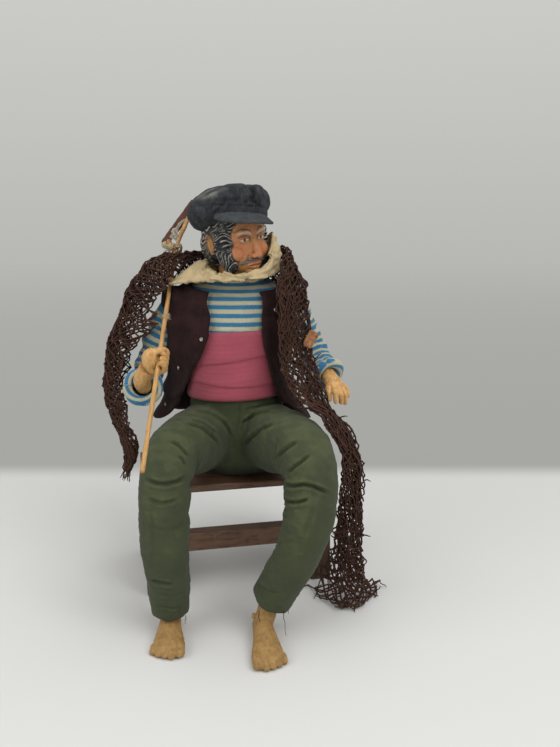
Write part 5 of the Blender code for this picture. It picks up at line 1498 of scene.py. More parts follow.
def make_right_hand(finish):
    """Hand closed round the pole, with a channel for it."""
    shapes = [
        tube(
            [(-49.6, -33.5, 127.6, 4.6, 4.6), (-49.4, -40, 132.5, 4.7, 4.2), (-45, -45, 140, 5.0, 4.4)], 28, 20
        ),
        ball(
            GRIP - POLE_SIDE * 4.6 - POLE_FRONT * 0.5, (4.4, 5.8, 6.4),
            np.array([POLE_SIDE, POLE_WAY, POLE_FRONT]).T
        ),
    ]
    nails, knuckles = [], []
    for k in range(4):
        at = GRIP + POLE_WAY * (k - 1.4) * 3.3
        loop = []
        for degrees, radius in (
            (195, 1.5), (165, 1.75), (130, 1.7), (80, 1.65), (30, 1.7), (-15, 1.6), (-55, 1.45)
        ):
            angle = math.radians(degrees + 3 * k)
            reach = 3.9 + (0.9 if degrees > 100 else 0)
            spot = at + (POLE_SIDE * math.cos(angle) + POLE_FRONT * math.sin(angle)) * reach
            loop.append((*spot, radius, radius))
            if degrees in (130, 30):
                knuckles.append(
                    at + (POLE_SIDE * math.cos(angle) + POLE_FRONT * math.sin(angle)) * (reach + 1.6)
                )
        shapes.append(tube(loop, 16, 30, domes=True))
    thumb = [
        GRIP - POLE_SIDE * 5 - POLE_WAY - POLE_FRONT * 3,
        GRIP - POLE_SIDE * 1.5 - POLE_FRONT * 4.6 + POLE_WAY * 2,
        GRIP + POLE_SIDE * 2.6 - POLE_FRONT * 3.9 + POLE_WAY * 4
    ]
    shapes.append(tube([(*spot, r, r) for spot, r in zip(thumb, (2.1, 1.95, 1.7))], 16, 18, domes=True))
    nails.append((thumb[-1] + POLE_SIDE * 0.8 - POLE_FRONT * 1.6, -POLE_FRONT))
    right = clay_hand("right_hand_clay", shapes, nails, knuckles, finish)
    return cut(right, [tube([(*(GRIP + POLE_WAY * d), 1.6, 1.6) for d in (-20, 0, 20)], 24, 3)])


def make_left_hand(finish):
    """Open hand with its fingers hanging."""
    shapes = [
        tube(
            [(52.5, -10.5, 132.5, 4.4, 4.4), (55.5, -18.5, 129.6, 4.3, 3.8), (57, -23, 127.5, 5.0, 4.0)], 28, 20
        ),
        ball((57.6, -24.5, 126.2), (5.2, 5.4, 4.2)),
    ]
    fingers = [
        [(54.2, -26.5, 126.5), (53.8, -31, 124), (54.4, -32.2, 119.8)],
        [(56.8, -27.5, 126.6), (57.4, -32.5, 123.8), (58.0, -33.2, 118.8)],
        [(59.4, -27, 126.2), (60.8, -31.2, 122.8), (61.2, -31.2, 118.0)],
        [(61.2, -25.4, 125.4), (63.4, -28, 121.6), (63.6, -27.6, 116.8)],
        [(61.8, -22, 125.8), (64.6, -21.5, 123.2), (65.4, -23.5, 120.0)],
    ]
    nails, knuckles = [], []
    for finger in fingers:
        radii = (1.75, 1.65, 1.4)
        shapes.append(tube([(*spot, r, r) for spot, r in zip(finger, radii)], 16, 20, domes=True))
        end, before = np.array(finger[-1]), np.array(finger[-2])
        outside = unit(np.cross(np.cross(before - end, (0, -1.0, 0.2)), before - end))
        outside = outside if outside[1] < 0 else -outside
        nails.append((end + outside * 1.3, outside))
        knuckles.append(before + outside * 1.5)
    return clay_hand("left_hand_clay", shapes, nails, knuckles, finish)


def make_hands():
    finish = clay("hand_clay", rgb("b98a50"), rgb("cfa66c"), rgb("8a6238"), chip=rgb("dcc79c"), dirt=0.45)
    return make_right_hand(finish), make_left_hand(finish)


def make_feet():
    """Bare feet, each laid out from heel to toes and flat underneath."""
    finish = clay("foot_clay", rgb("92703f"), rgb("a3824f"), rgb("6e502e"), chip=rgb("b59868"), dirt=0.45)
    feet = {
        "right_foot_clay": ((-33.0, -66.0), -87.0, 1.0, [(-32.8, -73.3, 24.0), (-32.8, -71.7, 13.0)]),
        "left_foot_clay": ((16.5, -76.0), -80.0, -1.0, [(25.0, -76.3, 29.0), (20.2, -75.2, 16.0)]),
    }
    made = []
    for name, (heel, heading, inner, ankle) in feet.items():
        way = np.array((math.cos(math.radians(heading)), math.sin(math.radians(heading)), 0))
        side = np.array((-way[1], way[0], 0)) * inner

        def at(along, out, z):
            return np.array((*heel, 0)) + way * along + side * out + np.array((0, 0, z))

        sole = [
            (*at(-1.5, 0, 5), 4.8, 5), (*at(6, 0, 6.5), 5.4, 6.5), (*at(15, 0, 5.2), 6.6, 5),
            (*at(23, 0.4, 3.8), 8.0, 3.8), (*at(28.5, 0.4, 3.0), 7.8, 3.0)
        ]
        shapes = [tube(sole, 32, 24, domes=True)]
        shapes.append(tube([(*ankle[0], 5.6, 5.8), (*ankle[1], 5.4, 5.8), (*at(3, 0, 6), 5.2, 5.6)], 28, 18))
        shapes += [ball(at(1.5, sign * 4.4, 12.5), (1.2, 1.7, 1.5)) for sign in (-1, 1)]
        toes = [
            (6.2, 25, 34.5, 2.7), (2.4, 27, 35.5, 2.0), (-1.1, 27, 34.5, 1.9), (-4.3, 26.5, 33.0, 1.8),
            (-7.2, 25, 30.8, 1.7)
        ]
        nails = []
        for out, start, end, radius in toes:
            knots = [
                (*at(start, out, radius + 0.8), radius, radius),
                (*at(end - radius, out * 1.04, radius), radius * 1.02, radius * 0.92)
            ]
            knots.insert(1, tuple((np.array(knots[0]) + np.array(knots[1])) / 2 + np.array((0, 0, 0.6, 0, 0))))
            shapes.append(tube(knots, 18, 14, domes=True))
            nails.append((at(end - radius, out * 1.04, radius * 1.85), radius))
        foot = fused(name, shapes, 0.36, relax=3)
        points, normals = spots_of(foot)
        relief = 0.08 * waves(points, 2.4, 81)
        for spot, radius in nails:
            far = np.linalg.norm((points - spot) / (1, 1, 1.6), axis=1) / (radius * 0.62)
            relief += np.where(
                normals[:, 2] > 0.1, -0.22 * np.exp(-(far**8)) + 0.12 * bell((far - 1.15) / 0.18), 0
            )
        for out, tendon in ((4.6, 0.25), (1.6, 0.22), (-1.2, 0.2), (-3.8, 0.18)):
            line = (points - at(0, 0, 0)) @ side
            along = (points - at(0, 0, 0)) @ way
            relief += (
                tendon * bell((line - out * along / 26) / 0.7) * smooth((along - 10) / 5)
                * smooth((27 - along) / 4) * (normals[:, 2] > 0.2)
            )
        points = points + normals * relief[:, None]
        points[:, 2] = np.maximum(points[:, 2], 0.02)
        move_to(foot, points)
        made.append(dress(foot, finish))
    return made


def make_pole():
    """Straight pole, a little uneven, and thinner at the fork."""
    steps = np.linspace(0, 1, 60)
    line = [POLE_FOOT + (POLE_HEAD - POLE_FOOT) * s for s in steps]
    radii = 1.22 + 0.05 * np.sin(steps * 31) + 0.05 * np.sin(steps * 77 + 1)
    radii[-1] = 1.0
    pole = outward(piece("net_pole", [string(line, radii, 20, 160)]))
    return dress(
        pole,
        wood(
            "pole_wood", rgb("a87742"), rgb("d3a566"), grain=(1, 0.09, 0.11), turn=(0, 0, 0), size=1.0,
            rough=0.55, worn_colour=rgb("8c6236")
        )
    )


def make_blade():
    """Thin board with a pointed end and worn corners."""
    columns, rows = 90, 12
    s, t = np.meshgrid(np.linspace(-1, 1, columns), np.linspace(-1, 1, rows))
    taper = np.clip((1 - s) / 0.10, 0.35, 1) * np.clip((1 + s) / 0.05, 0.55, 1)
    nick = 0.14 * np.sin(11 * s + 1) + 0.1 * np.sin(27 * s)
    broad = ACROSS * math.cos(math.radians(50)) + FACING * math.sin(math.radians(50))
    grid = (
        BLADE_MIDDLE + s[..., None] * BAR * 21.4 + (t * (2.9 + 0.7 * s + 0.5 * nick) * taper)[..., None] * broad
    )
    thick = 1.9 * np.sqrt(np.clip(1 - np.maximum(np.abs(t) - 0.8, 0) ** 2 / 0.05, 0.15, 1))
    blade = outward(piece("net_blade", [wall(grid, thick)], flat=45))
    return dress(
        blade,
        wood(
            "blade_wood", rgb("3c1d16"), rgb("6d3f2c"), grain=(0.5, 0.5, 0.4), turn=(0.7, 0.4, 0.7), size=1.4,
            rough=0.42, worn_colour=rgb("84573c")
        )
    )


def make_twigs(rng):
    """The net's two thin wooden arms, knobbly and with short side shoots."""
    made = {}
    twig = wood(
        "twig_bark", rgb("8a5c34"), rgb("cda06a"), grain=(1, 0.25, 0.3), size=0.9, rough=0.7,
        worn_colour=rgb("6b4327")
    )
    for name, side, at in (("right", -1, 14.0), ("left", 1, 13.0)):
        foot = POLE_HEAD - POLE_WAY * 9 + BAR * side * (1.25 + 1.35)
        fork = POLE_HEAD + POLE_WAY * 1.5 + BAR * side * 3.2
        tip = BLADE_MIDDLE + BAR * side * at - ACROSS * 3.7
        knots = [
            (*foot, 0.8, 0.8), (*fork, 1.2, 1.2), (*((fork + tip) / 2 + BAR * side * 0.8), 1.35, 1.35),
            (*tip, 1.1, 1.1)
        ]
        places = rng.uniform(0.15, 0.95, 7)

        def knobs(share, angles):
            bump = sum(
                0.45 * math.exp(-(((share - p) / 0.022) ** 2)) * np.maximum(np.cos(angles - 6 * p), -0.2)
                for p in places
            )
            return bump + 0.07 * np.sin(5 * angles + 30 * share)

        shapes = [tube(knots, 16, 70, relief=knobs)]
        fine = curve_through(knots, 40)
        for p in (0.42, 0.7):
            spot = fine[int(p * 39), :3]
            shapes.append(
                string(
                    [spot, spot + BAR * side * 1.6 + POLE_WAY * 1.0, spot + BAR * side * 2.2 + POLE_WAY * 2.4],
                    [0.6, 0.45, 0.3], 8, 8
                )
            )
        made[f"arm_{name}"] = dress(outward(piece(f"net_twig_{name}", shapes)), twig)
    return made


def lashing_strands(rng):
    """Turns of thin cord round pole and twigs, with its ends."""
    middle = POLE_HEAD - POLE_WAY * 5.6
    turns = np.linspace(0, 2 * math.pi * 8.0, 420)
    rise = np.linspace(-1.7, 1.7, 420) + 0.25 * np.sin(turns * 0.37)
    line = (
        middle + np.outer(np.cos(turns), BAR) * 5.4 + np.outer(np.sin(turns), FACING) * 3.0
        + np.outer(rise, POLE_WAY)
    )
    line += np.outer(0.3 * np.sin(turns * 1.7), FACING)
    shapes = [string(line, 0.42, 6, 420)]
    for _ in range(7):
        way = unit(FACING * rng.uniform(0.2, 1) + BAR * rng.uniform(-1, 1) - POLE_WAY * rng.uniform(0, 1))
        start = middle + BAR * rng.uniform(-4, 4) + FACING * 3.1
        shapes.append(
            string([start, start + way * 2, start + way * 3.5 + (0, 0, -1.2)], [0.3, 0.22, 0.12], 5, 8)
        )
    return shapes


def mesh_strands():
    """Fine white mesh, hung between the twigs."""
    shapes = []

    def bag(s, t):
        low = POLE_HEAD + POLE_WAY * 4.5 + BAR * s * 1.2
        high = BLADE_MIDDLE + BAR * s * 10.5 - ACROSS * 3.1
        sag = math.sin(math.pi * t) * (1 - 0.5 * s * s)
        return low + (high - low) * t + FACING * (3.6 * sag + 0.5 * math.sin(7 * s + 4 * t))

    for k in range(15):
        s = -1 + 2 * k / 14
        line = [
            bag(s + 0.05 * math.sin(9 * t + k), t) + FACING * 0.25 * math.sin(31 * t + 2 * k)
            for t in np.linspace(0, 1, 18)
        ]
        shapes.append(string(line, 0.17, 4, 36))
    for k in range(22):
        t = 0.05 + 0.93 * k / 21
        line = [bag(s, t + 0.012 * math.sin(40 * s + k)) for s in np.linspace(-1, 1, 18)]
        shapes.append(string(line, 0.15, 4, 36))
    return shapes


def hank_strands():
    """Three strands of rope-like cord, laid round each other."""
    shapes = []
    for strand in range(3):
        turn = np.linspace(0, 15, 150) + strand * THIRD_TURN
        t = np.linspace(0, 1, 150)
        start, end = BLADE_MIDDLE - BAR * 17.5 - ACROSS * 3.2, POLE_HEAD + POLE_WAY * 3.0 - BAR * 5.0
        core = (
            start + (end - start) * t[:, None] + FACING * (1.5 * np.sin(math.pi * t))[:, None]
            - BAR * (2.2 * np.sin(math.pi * t))[:, None]
        )
        shapes.append(
            string(
                core + np.outer(np.cos(turn), BAR) * 1.05 + np.outer(np.sin(turn), FACING) * 1.05, 1.0, 8, 150
            )
        )
    return shapes


def tuft_strands(rng):
    """Pale tuft tied on the pole below the coat's edge."""
    shapes = []
    knot = POLE_FOOT + (POLE_HEAD - POLE_FOOT) * 0.625
    for _ in range(26):
        way = unit(rng.normal(size=3) + POLE_SIDE * 0.7)
        shapes.append(
            string(
                [knot + way * 1.0, knot + way * 2.0, knot + way * rng.uniform(2.4, 3.6)], [0.3, 0.22, 0.1], 5, 6
            )
        )
    turn = np.linspace(0, 26, 120)
    coil = (
        knot + np.outer(np.linspace(-1.2, 1.2, 120), POLE_WAY)
        + 1.5 * (np.outer(np.cos(turn), POLE_SIDE) + np.outer(np.sin(turn), POLE_FRONT))
    )
    shapes.append(string(coil, 0.3, 5, 120))
    return shapes


def make_shrimp_net():
    """Pole, brown blade, two twigs, lashing, white mesh, hank and tuft."""
    rng = np.random.default_rng(91)
    made = {"pole": make_pole(), "blade": make_blade(), **make_twigs(rng)}
    cord = twine("pale_cord", rgb("c9b48c"), rgb("e6d8b8"), twist=0.7)
    thread = twine("white_thread", rgb("cfc8b6"), rgb("efeadc"), twist=0.5)
    for key, name, strands, finish in (
        ("lashing", "cord_lashing", lashing_strands(rng), cord), ("bag", "white_mesh", mesh_strands(), thread),
        ("hank", "cord_hank", hank_strands(), cord), ("tuft", "pole_tuft", tuft_strands(rng), cord),
    ):
        made[key] = dress(outward(piece(name, strands)), finish)
    return made


NET_MESHES = (170, 21)  # rows from tail to floor, columns from edge to edge
NET_TWINE, NET_KNOT = 0.54, 0.66  # mm
NET_STRAND = (0.25, 11)  # mm, shortest and longest strand that is kept
NET_GAP, POLE_GAP = 0.75, 2.3  # mm that the net's knots keep from the clothes and from the pole's middle
NET_LOST = 0.012  # share of strands that are broken away

# Fishing net: its front or inner edge, its middle and its back or outer edge, from tail to floor

NET_RIBS = [
    ((-61.0, -23.0, 75.5), (-62.8, -24.4, 74.0), (-65.0, -23.0, 75.5)),
    ((-57.5, -22.0, 84.0), (-60.5, -24.6, 82.5), (-65.0, -21.0, 84.0)),
    ((-57.0, -22.0, 92.5), (-62.5, -26.0, 91.5), (-67.0, -18.0, 92.5)),
    ((-60.0, -25.0, 104.0), (-69.5, -20.0, 103.0), (-68.0, -4.0, 104.0)),
    ((-64.5, -22.0, 120.0), (-75.5, -12.0, 119.0), (-69.0, 8.0, 120.0)),
    ((-65.0, -17.0, 135.0), (-75.5, -8.0, 135.0), (-67.0, 13.0, 135.0)),
    ((-58.0, -15.0, 150.0), (-73.0, -6.0, 150.0), (-62.0, 16.0, 150.0)),
    ((-49.5, -15.5, 163.0), (-66.5, -4.0, 164.0), (-56.0, 18.0, 162.0)),
    ((-43.5, -17.0, 177.0), (-60.0, -2.0, 181.0), (-51.0, 20.0, 172.0)),
    ((-39.0, -14.0, 186.5), (-48.5, 1.0, 195.0), (-43.0, 22.0, 177.0)),
    ((-31.0, -4.0, 193.0), (-33.5, 6.5, 197.5), (-33.0, 24.5, 179.0)),
    ((-21.5, 10.0, 197.0), (-22.0, 17.0, 196.5), (-22.5, 28.0, 176.0)),
    ((-8.0, 17.5, 195.0), (-8.5, 24.0, 190.0), (-9.0, 28.5, 170.0)),
    ((7.0, 18.0, 196.0), (8.5, 24.0, 190.0), (9.0, 28.5, 168.0)),
    ((20.5, 15.0, 201.5), (24.5, 19.8, 192.5), (26.0, 25.5, 171.0)),
    ((29.0, 3.0, 201.5), (33.0, 8.0, 193.0), (38.0, 18.0, 177.0)),
    ((26.5, -17.0, 195.0), (33.0, -6.0, 191.0), (40.5, 4.0, 182.5)),
    ((24.5, -29.5, 182.5), (32.5, -21.0, 180.5), (41.5, -11.0, 174.0)),
    ((26.5, -33.0, 168.0), (34.5, -27.0, 167.0), (42.5, -17.0, 162.0)),
    ((29.0, -36.0, 150.0), (37.0, -31.0, 149.0), (45.0, -22.0, 147.0)),
    ((32.0, -40.0, 135.0), (40.5, -35.5, 134.0), (48.0, -30.0, 131.0)),
    ((37.5, -48.0, 122.5), (46.0, -42.0, 121.0), (54.5, -37.0, 113.5)),
    ((47.0, -55.0, 117.5), (56.5, -49.0, 111.0), (65.0, -41.0, 102.0)),
    ((56.5, -59.0, 105.0), (64.0, -51.0, 97.0), (71.0, -42.0, 88.0)),
    ((58.5, -58.0, 90.0), (66.0, -50.0, 82.0), (72.8, -41.0, 73.0)),
    ((58.5, -54.0, 75.0), (66.5, -48.0, 67.0), (73.5, -40.0, 57.0)),
    ((59.0, -47.0, 59.0), (67.0, -44.0, 50.0), (74.0, -38.0, 40.0)),
    ((59.0, -39.0, 42.0), (67.5, -41.0, 33.0), (75.0, -36.0, 24.0)),
    ((57.0, -32.0, 26.0), (67.5, -42.0, 17.0), (78.0, -32.0, 12.0)),
    ((51.0, -24.0, 12.0), (67.0, -45.0, 6.5), (83.0, -25.0, 5.0)),
    ((43.0, -19.5, 2.0), (66.0, -51.0, 1.3), (89.5, -16.0, 1.3)),
]


def net_surface(u, t):
    """Places and outward ways on the draped net, u from tail to floor and t from inner to outer edge."""
    fine = curve_through([(*middle, *inner, *outer) for inner, middle, outer in NET_RIBS], 900)

    def spots(a, b):
        rib = [np.interp(np.clip(a, 0, 1), np.linspace(0, 1, 900), fine[:, c]) for c in range(9)]
        middle, inner, outer = (np.stack(rib[k : k + 3], -1) for k in (0, 3, 6))
        b = b[..., None]
        return inner * (1 - b) * (1 - 2 * b) + middle * 4 * b * (1 - b) + outer * b * (2 * b - 1)

    place = spots(u, t)
    along, over = spots(u + 0.004, t) - spots(u - 0.004, t), spots(u, t + 0.02) - spots(u, t - 0.02)
    normal = np.cross(over, along)
    normal /= np.maximum(np.linalg.norm(normal, axis=-1, keepdims=True), 1e-9)
    return place, normal


def net_nodes(solid_pieces):
    """Places of the net's knots, row by row from tail to floor, clear of the clothes and the pole."""
    rows, columns = NET_MESHES
    i, j = np.meshgrid(np.arange(rows + 1), np.arange(columns + 1), indexing="ij")
    u = i / rows
    w = (j + 0.5 * (i % 2)) / (columns + 0.5)
    base = np.stack([u * 500, w * 90, np.zeros_like(u)], -1).reshape(-1, 3)

    def ripple(size, seed):
        return waves(base, size, seed).reshape(u.shape)

    drift = ripple(42, 101)
    turn = 3.02 * w + 0.12 * drift * smooth((u - 0.08) / 0.1)
    layer = np.clip(turn, 0, 3)
    t = np.abs((turn + 1) % 2 - 1)
    t = t * 0.98 + 0.05 * ripple(30, 107) + 0.02 * ripple(12, 102)
    reach = np.interp(
        u, [0, 0.10, 0.167, 0.20, 0.233, 0.267, 0.60, 0.633, 0.667, 0.70, 0.76, 1.0],
        [0, 0.03, 0.0, 0.12, 0.0, 0.03, 0.0, 0.12, 0.28, 0.12, 0.0, 0.0]
    )
    t = t * (1 + reach) - reach
    u2 = u + 0.0035 * ripple(12, 103) + 0.0015 * ripple(6, 104)
    place, normal = net_surface(u2, np.clip(t, -0.45, 1.08))
    # outward is away from the body, or up where the net lies on the floor
    hub = np.stack([np.zeros_like(u), np.zeros_like(u), np.clip(place[..., 2], 90, 175)], -1)
    outward_way = np.where(((place - hub) * normal).sum(-1, keepdims=True) < 0, -normal, normal)
    floor_part = smooth((u - 0.93) / 0.05)[..., None]
    outward_way = outward_way * (1 - floor_part) + np.array((0, 0, 1.0)) * floor_part
    lift = -0.4 + 0.9 * layer + 1.0 * ripple(26, 108) + 0.6 * ripple(9, 105)
    lift = lift * (0.55 + 0.45 * smooth((u - 0.05) / 0.1))
    tail = 1 - smooth((u - 0.02) / 0.10)
    lift = lift * (1 - 0.5 * tail)
    nodes = place + outward_way * (lift - 0.4)[..., None]
    nodes += 0.45 * np.stack([ripple(5, 106 + k) for k in range(3)], -1)
    nodes = nodes.reshape(-1, 3)
    trees = []
    for thing in solid_pieces:
        trees.append(
            BVHTree.FromPolygons(
                [tuple(p) for p in spots_of(thing)[0]], [tuple(p.vertices) for p in thing.data.polygons]
            )
        )
    for spot in nodes:
        for tree in trees:
            hit, way, _, far = tree.find_nearest(Vector(spot), 9.0)
            if hit is None:
                continue
            inside = (Vector(spot) - hit).dot(way) < 0
            if inside or far < NET_GAP:
                spot[:] = np.array(hit) + np.array(way) * NET_GAP
        spot[2] = max(spot[2], 0.5)
    # keep clear of the pole
    s = np.clip(((nodes - POLE_FOOT) @ POLE_WAY), 0, 170)
    off = nodes - POLE_FOOT - s[:, None] * POLE_WAY
    far = np.linalg.norm(off, axis=1)
    close = far < POLE_GAP
    nodes[close] += off[close] / np.maximum(far[close], 1e-6)[:, None] * (POLE_GAP - far[close])[:, None]
    return nodes


def net_strands(nodes, index, rng):
    """Strands of twine between the knots, each with a little slack, and a few of them lost."""
    rows, columns = NET_MESHES
    edges = []
    for a in range(rows):
        shift = a % 2
        for b in range(columns + 1):
            edges.append((index[a, b], index[a + 1, b]))
            other = b + (1 if shift else -1)
            if 0 <= other <= columns:
                edges.append((index[a, b], index[a + 1, other]))
    lost = rng.random(len(edges)) < NET_LOST
    edges = np.array([e for e, gone in zip(edges, lost) if not gone])
    start, end = nodes[edges[:, 0]], nodes[edges[:, 1]]
    way = end - start
    size = np.linalg.norm(way, axis=1, keepdims=True)
    keep = (size[:, 0] > NET_STRAND[0]) & (size[:, 0] < NET_STRAND[1])
    start, end, way, size = start[keep], end[keep], way[keep], size[keep]
    way = way / size
    guide = np.where(np.abs(way[:, 2:]) > 0.8, (1.0, 0.2, 0.0), (0.0, 0.1, 1.0))
    across = np.cross(way, guide)
    across /= np.linalg.norm(across, axis=1)[:, None]
    front = np.cross(way, across)
    bend = (
        (end + start) / 2 + across * rng.normal(0, 0.3, (len(way), 1))
        + front * rng.normal(0, 0.3, (len(way), 1)) - (0, 0, 0.2)
    )
    bend[:, 2] = np.maximum(bend[:, 2], 0.5)
    thick = NET_TWINE * rng.uniform(0.8, 1.15, (len(way), 1))
    rings = []
    for centre in (start, bend, end):
        for k in range(3):
            angle = THIRD_TURN * k
            rings.append(centre + (across * math.cos(angle) + front * math.sin(angle)) * thick)
    points = np.stack(rings, 1).reshape(-1, 3)
    points[:, 2] = np.maximum(points[:, 2], 0.05)
    faces = []
    for e in range(len(way)):
        o = e * 9
        for r in (0, 3):
            for k in range(3):
                q = (k + 1) % 3
                faces.append((o + r + k, o + r + q, o + r + 3 + q, o + r + 3 + k))
    return points, faces


def net_knots(nodes, rng):
    """A small eight-sided knot at every place."""
    corners = np.array([(1, 0, 0), (-1, 0, 0), (0, 1, 0), (0, -1, 0), (0, 0, 1), (0, 0, -1)], float)
    knot_size = NET_KNOT * rng.uniform(0.75, 1.2, (len(nodes), 1, 1))
    spin = turned(20, 30, 40)
    knots = (nodes[:, None, :] + corners @ spin.T * knot_size).reshape(-1, 3)
    knots[:, 2] = np.maximum(knots[:, 2], 0.03)
    sides = [(0, 2, 4), (2, 1, 4), (1, 3, 4), (3, 0, 4), (2, 0, 5), (1, 2, 5), (3, 1, 5), (0, 3, 5)]
    return knots, [tuple(6 * n + c for c in side) for n in range(len(nodes)) for side in sides]


def net_loose_ends(nodes, index, rng):
    """Frayed ends at the tail, along the edges and in the heap, and loops on the floor."""
    rows, columns = NET_MESHES
    shapes = []
    starts = [(index[0, b], (-0.5, -0.2, -1.0), 5.0) for b in range(0, columns + 1, 2)]
    starts += [(index[a, columns], (0.9, -0.2, 0.1), 3.2) for a in range(60, rows, 13)]
    starts += [(index[rows, b], (rng.uniform(-1, 1), -0.9, 0.1), 5.5) for b in range(0, columns + 1)]
    starts += [(index[a, 0], (0.5, -0.6, -0.4), 2.6) for a in range(30, rows, 21)]
    for node, lead, length in starts:
        spot = nodes[node].copy()
        lead = unit(np.array(lead) + rng.normal(0, 0.45, 3))
        line = [spot]
        for _ in range(4):
            lead = unit(lead + rng.normal(0, 0.35, 3) + (0, 0, -0.12))
            spot = spot + lead * length * rng.uniform(0.2, 0.4)
            spot[2] = max(spot[2], 0.6)
            line.append(spot)
        shapes.append(string(line, [0.42, 0.4, 0.32, 0.2], 4, 8))
    for _ in range(30):
        middle = (
            nodes[index[rng.integers(rows - 14, rows), rng.integers(0, columns)]]
            + rng.normal(0, 1.5, 3) * (1, 1, 0)
        )
        radius, angle = rng.uniform(2.0, 3.6), rng.uniform(0, 6.28)
        turn = np.linspace(0, 5.6, 9) + angle
        tip = rng.uniform(-0.5, 0.5)
        line = [
            middle
            + (radius * math.cos(a), radius * 0.8 * math.sin(a), 0.6 + abs(tip) * radius * (1 + math.sin(a)))
            for a in turn
        ]
        line = [np.array((p[0], p[1], max(p[2], 0.6))) for p in line]
        shapes.append(string(line, 0.4, 4, 16))
    return shapes


def make_fishing_net(solid_pieces):
    """One knotted net of brown twine, gathered into long folds over the shoulders and heaped on the floor."""
    rows, columns = NET_MESHES
    nodes = net_nodes(solid_pieces)
    index = np.arange((rows + 1) * (columns + 1)).reshape(rows + 1, columns + 1)
    rng = np.random.default_rng(110)
    shapes = [net_strands(nodes, index, rng), net_knots(nodes, rng), *net_loose_ends(nodes, index, rng)]
    net = outward(piece("brown_net", shapes))
    return dress(net, twine("net_cord", rgb("4a2f24"), rgb("89634f"), twist=1.1, rough=0.85))


def make_cork():
    middle = np.array((43.6, -30.8, 154.0))
    way = unit((0.5, -0.15, 1.0))
    profile = [
        (0.4, -4.6), (2.3, -4.6), (2.75, -4.2), (2.85, -1.5), (2.9, 1.4), (2.8, 4.0), (2.4, 4.6), (0.4, 4.6)
    ]
    cork = fused("cork_float", [lathe(profile, way, middle, 32)], 0.28, relax=2)
    points, normals = spots_of(cork)
    pits = smooth((waves(points, 2.2, 121) - 0.75) / 0.3) + 0.6 * smooth((waves(points, 1.1, 122) - 0.8) / 0.3)
    move_to(cork, points + normals * (0.12 * waves(points, 3, 123) - 0.4 * pits)[:, None])
    return dress(cork, clay("cork_bark", rgb("8a5c3a"), rgb("b07f55"), rgb("4a2a1a"), dirt=0.8))


def make_small_things():
    """Pin head and hem thread of the trousers, and loose threads."""
    rng = np.random.default_rng(131)
    spot = np.array((-35.1, -85.9, 32.8))
    pin = piece("pin_head", [ball(spot, (0.85, 0.85, 0.85), None, 16, 10)])
    glass = Finish("pin_glass", roughness=0.3)
    dress(pin, glass.done(glass.mixed(glass.noise(1.0), rgb("e6e3da"), rgb("cfcabd"))))
    shapes = []
    for start, length in (
        ((15.5, -84.6, 19.0), 12.0), ((27.6, -83.2, 19.5), 15.5), ((30.5, -79.5, 20.0), 6.0),
        ((-24.0, -78.0, 12.5), 5.0)
    ):
        line, at = [], np.array(start)
        for _ in range(7):
            line.append(at.copy())
            at = at + (rng.normal(0, 0.35), rng.normal(0, 0.2), -length / 6)
            at[2] = max(at[2], 0.4)
        shapes.append(string(line, [0.2, 0.18, 0.12], 5, 24))
    threads = piece("loose_threads", shapes)
    dress(threads, twine("dark_thread", rgb("221f1c"), rgb("3c3a34"), twist=0.5))
    return pin, threads


# The whole figure as operators


class SANTON_PG_colours(bpy.types.PropertyGroup):
    """Colours of the paint and the cloth"""

    skin: FloatVectorProperty(
        name="Skin", description="Painted clay of the face", subtype="COLOR", default=rgb("b07d52")
    )
    jersey_blue: FloatVectorProperty(
        name="Jersey blue", description="Blue stripe of the jersey", subtype="COLOR", default=rgb("2b7ba7")
    )
    jersey_cream: FloatVectorProperty(
        name="Jersey cream", description="Pale stripe of the jersey", subtype="COLOR", default=rgb("c6c2a2")
    )
    floor: FloatVectorProperty(
        name="Floor", description="Paper floor", subtype="COLOR", default=(0.70, 0.70, 0.685)
    )
    backdrop: FloatVectorProperty(
        name="Backdrop", description="Paper behind the figure", subtype="COLOR", default=(0.470, 0.475, 0.450)
    )


class SANTON_PG_sizes(bpy.types.PropertyGroup):
    """Sizes of the stage and the lamps"""

    wall_back: FloatProperty(
        name="Backdrop distance", description="How far behind the figure the floor turns into the backdrop",
        default=0.229, min=0.15, unit="LENGTH"
    )
    lamp_strength: FloatProperty(
        name="Lamps", description="Strength of the lamps against their usual level", default=1.0, min=0.0
    )


def show(things, nodes):
    """Settles several pieces, each with the CAD nodes that it stands for."""
    for thing, names in zip(things, nodes):
        settle_in(thing, *names)


class SANTON_OT_trousers(bpy.types.Operator):
    """Green linen trousers with their folds, worn knees and open hems"""

    bl_idname = "santon.trousers"
    bl_label = "Trousers"

    def execute(self, context):
        settle_in(make_trousers(), "trousers")
        return {"FINISHED"}


class SANTON_OT_jersey(bpy.types.Operator):
    """Striped knitted jersey with its cuffs turned back"""

    bl_idname = "santon.jersey"
    bl_label = "Jersey"

    def execute(self, context):
        settle_in(make_jersey(), "jersey")
        return {"FINISHED"}


class SANTON_OT_sash(bpy.types.Operator):
    """Rose cotton sash, wound three times round the waist"""

    bl_idname = "santon.sash"
    bl_label = "Sash"

    def execute(self, context):
        sash = settle_in(make_sash(), "sash")
        return {"FINISHED"}


class SANTON_OT_waistcoat(bpy.types.Operator):
    """Brown felt waistcoat and its metal buttons"""

    bl_idname = "santon.waistcoat"
    bl_label = "Waistcoat"

    def execute(self, context):
        coat = settle_in(make_waistcoat(), "waistcoat")
        for button, node in make_buttons():
            settle_in(button, node)
        return {"FINISHED"}


class SANTON_OT_scarf(bpy.types.Operator):
    """Ecru kerchief round the neck"""

    bl_idname = "santon.scarf"
    bl_label = "Kerchief"

    def execute(self, context):
        scarf = settle_in(make_scarf(), "scarf")
        return {"FINISHED"}


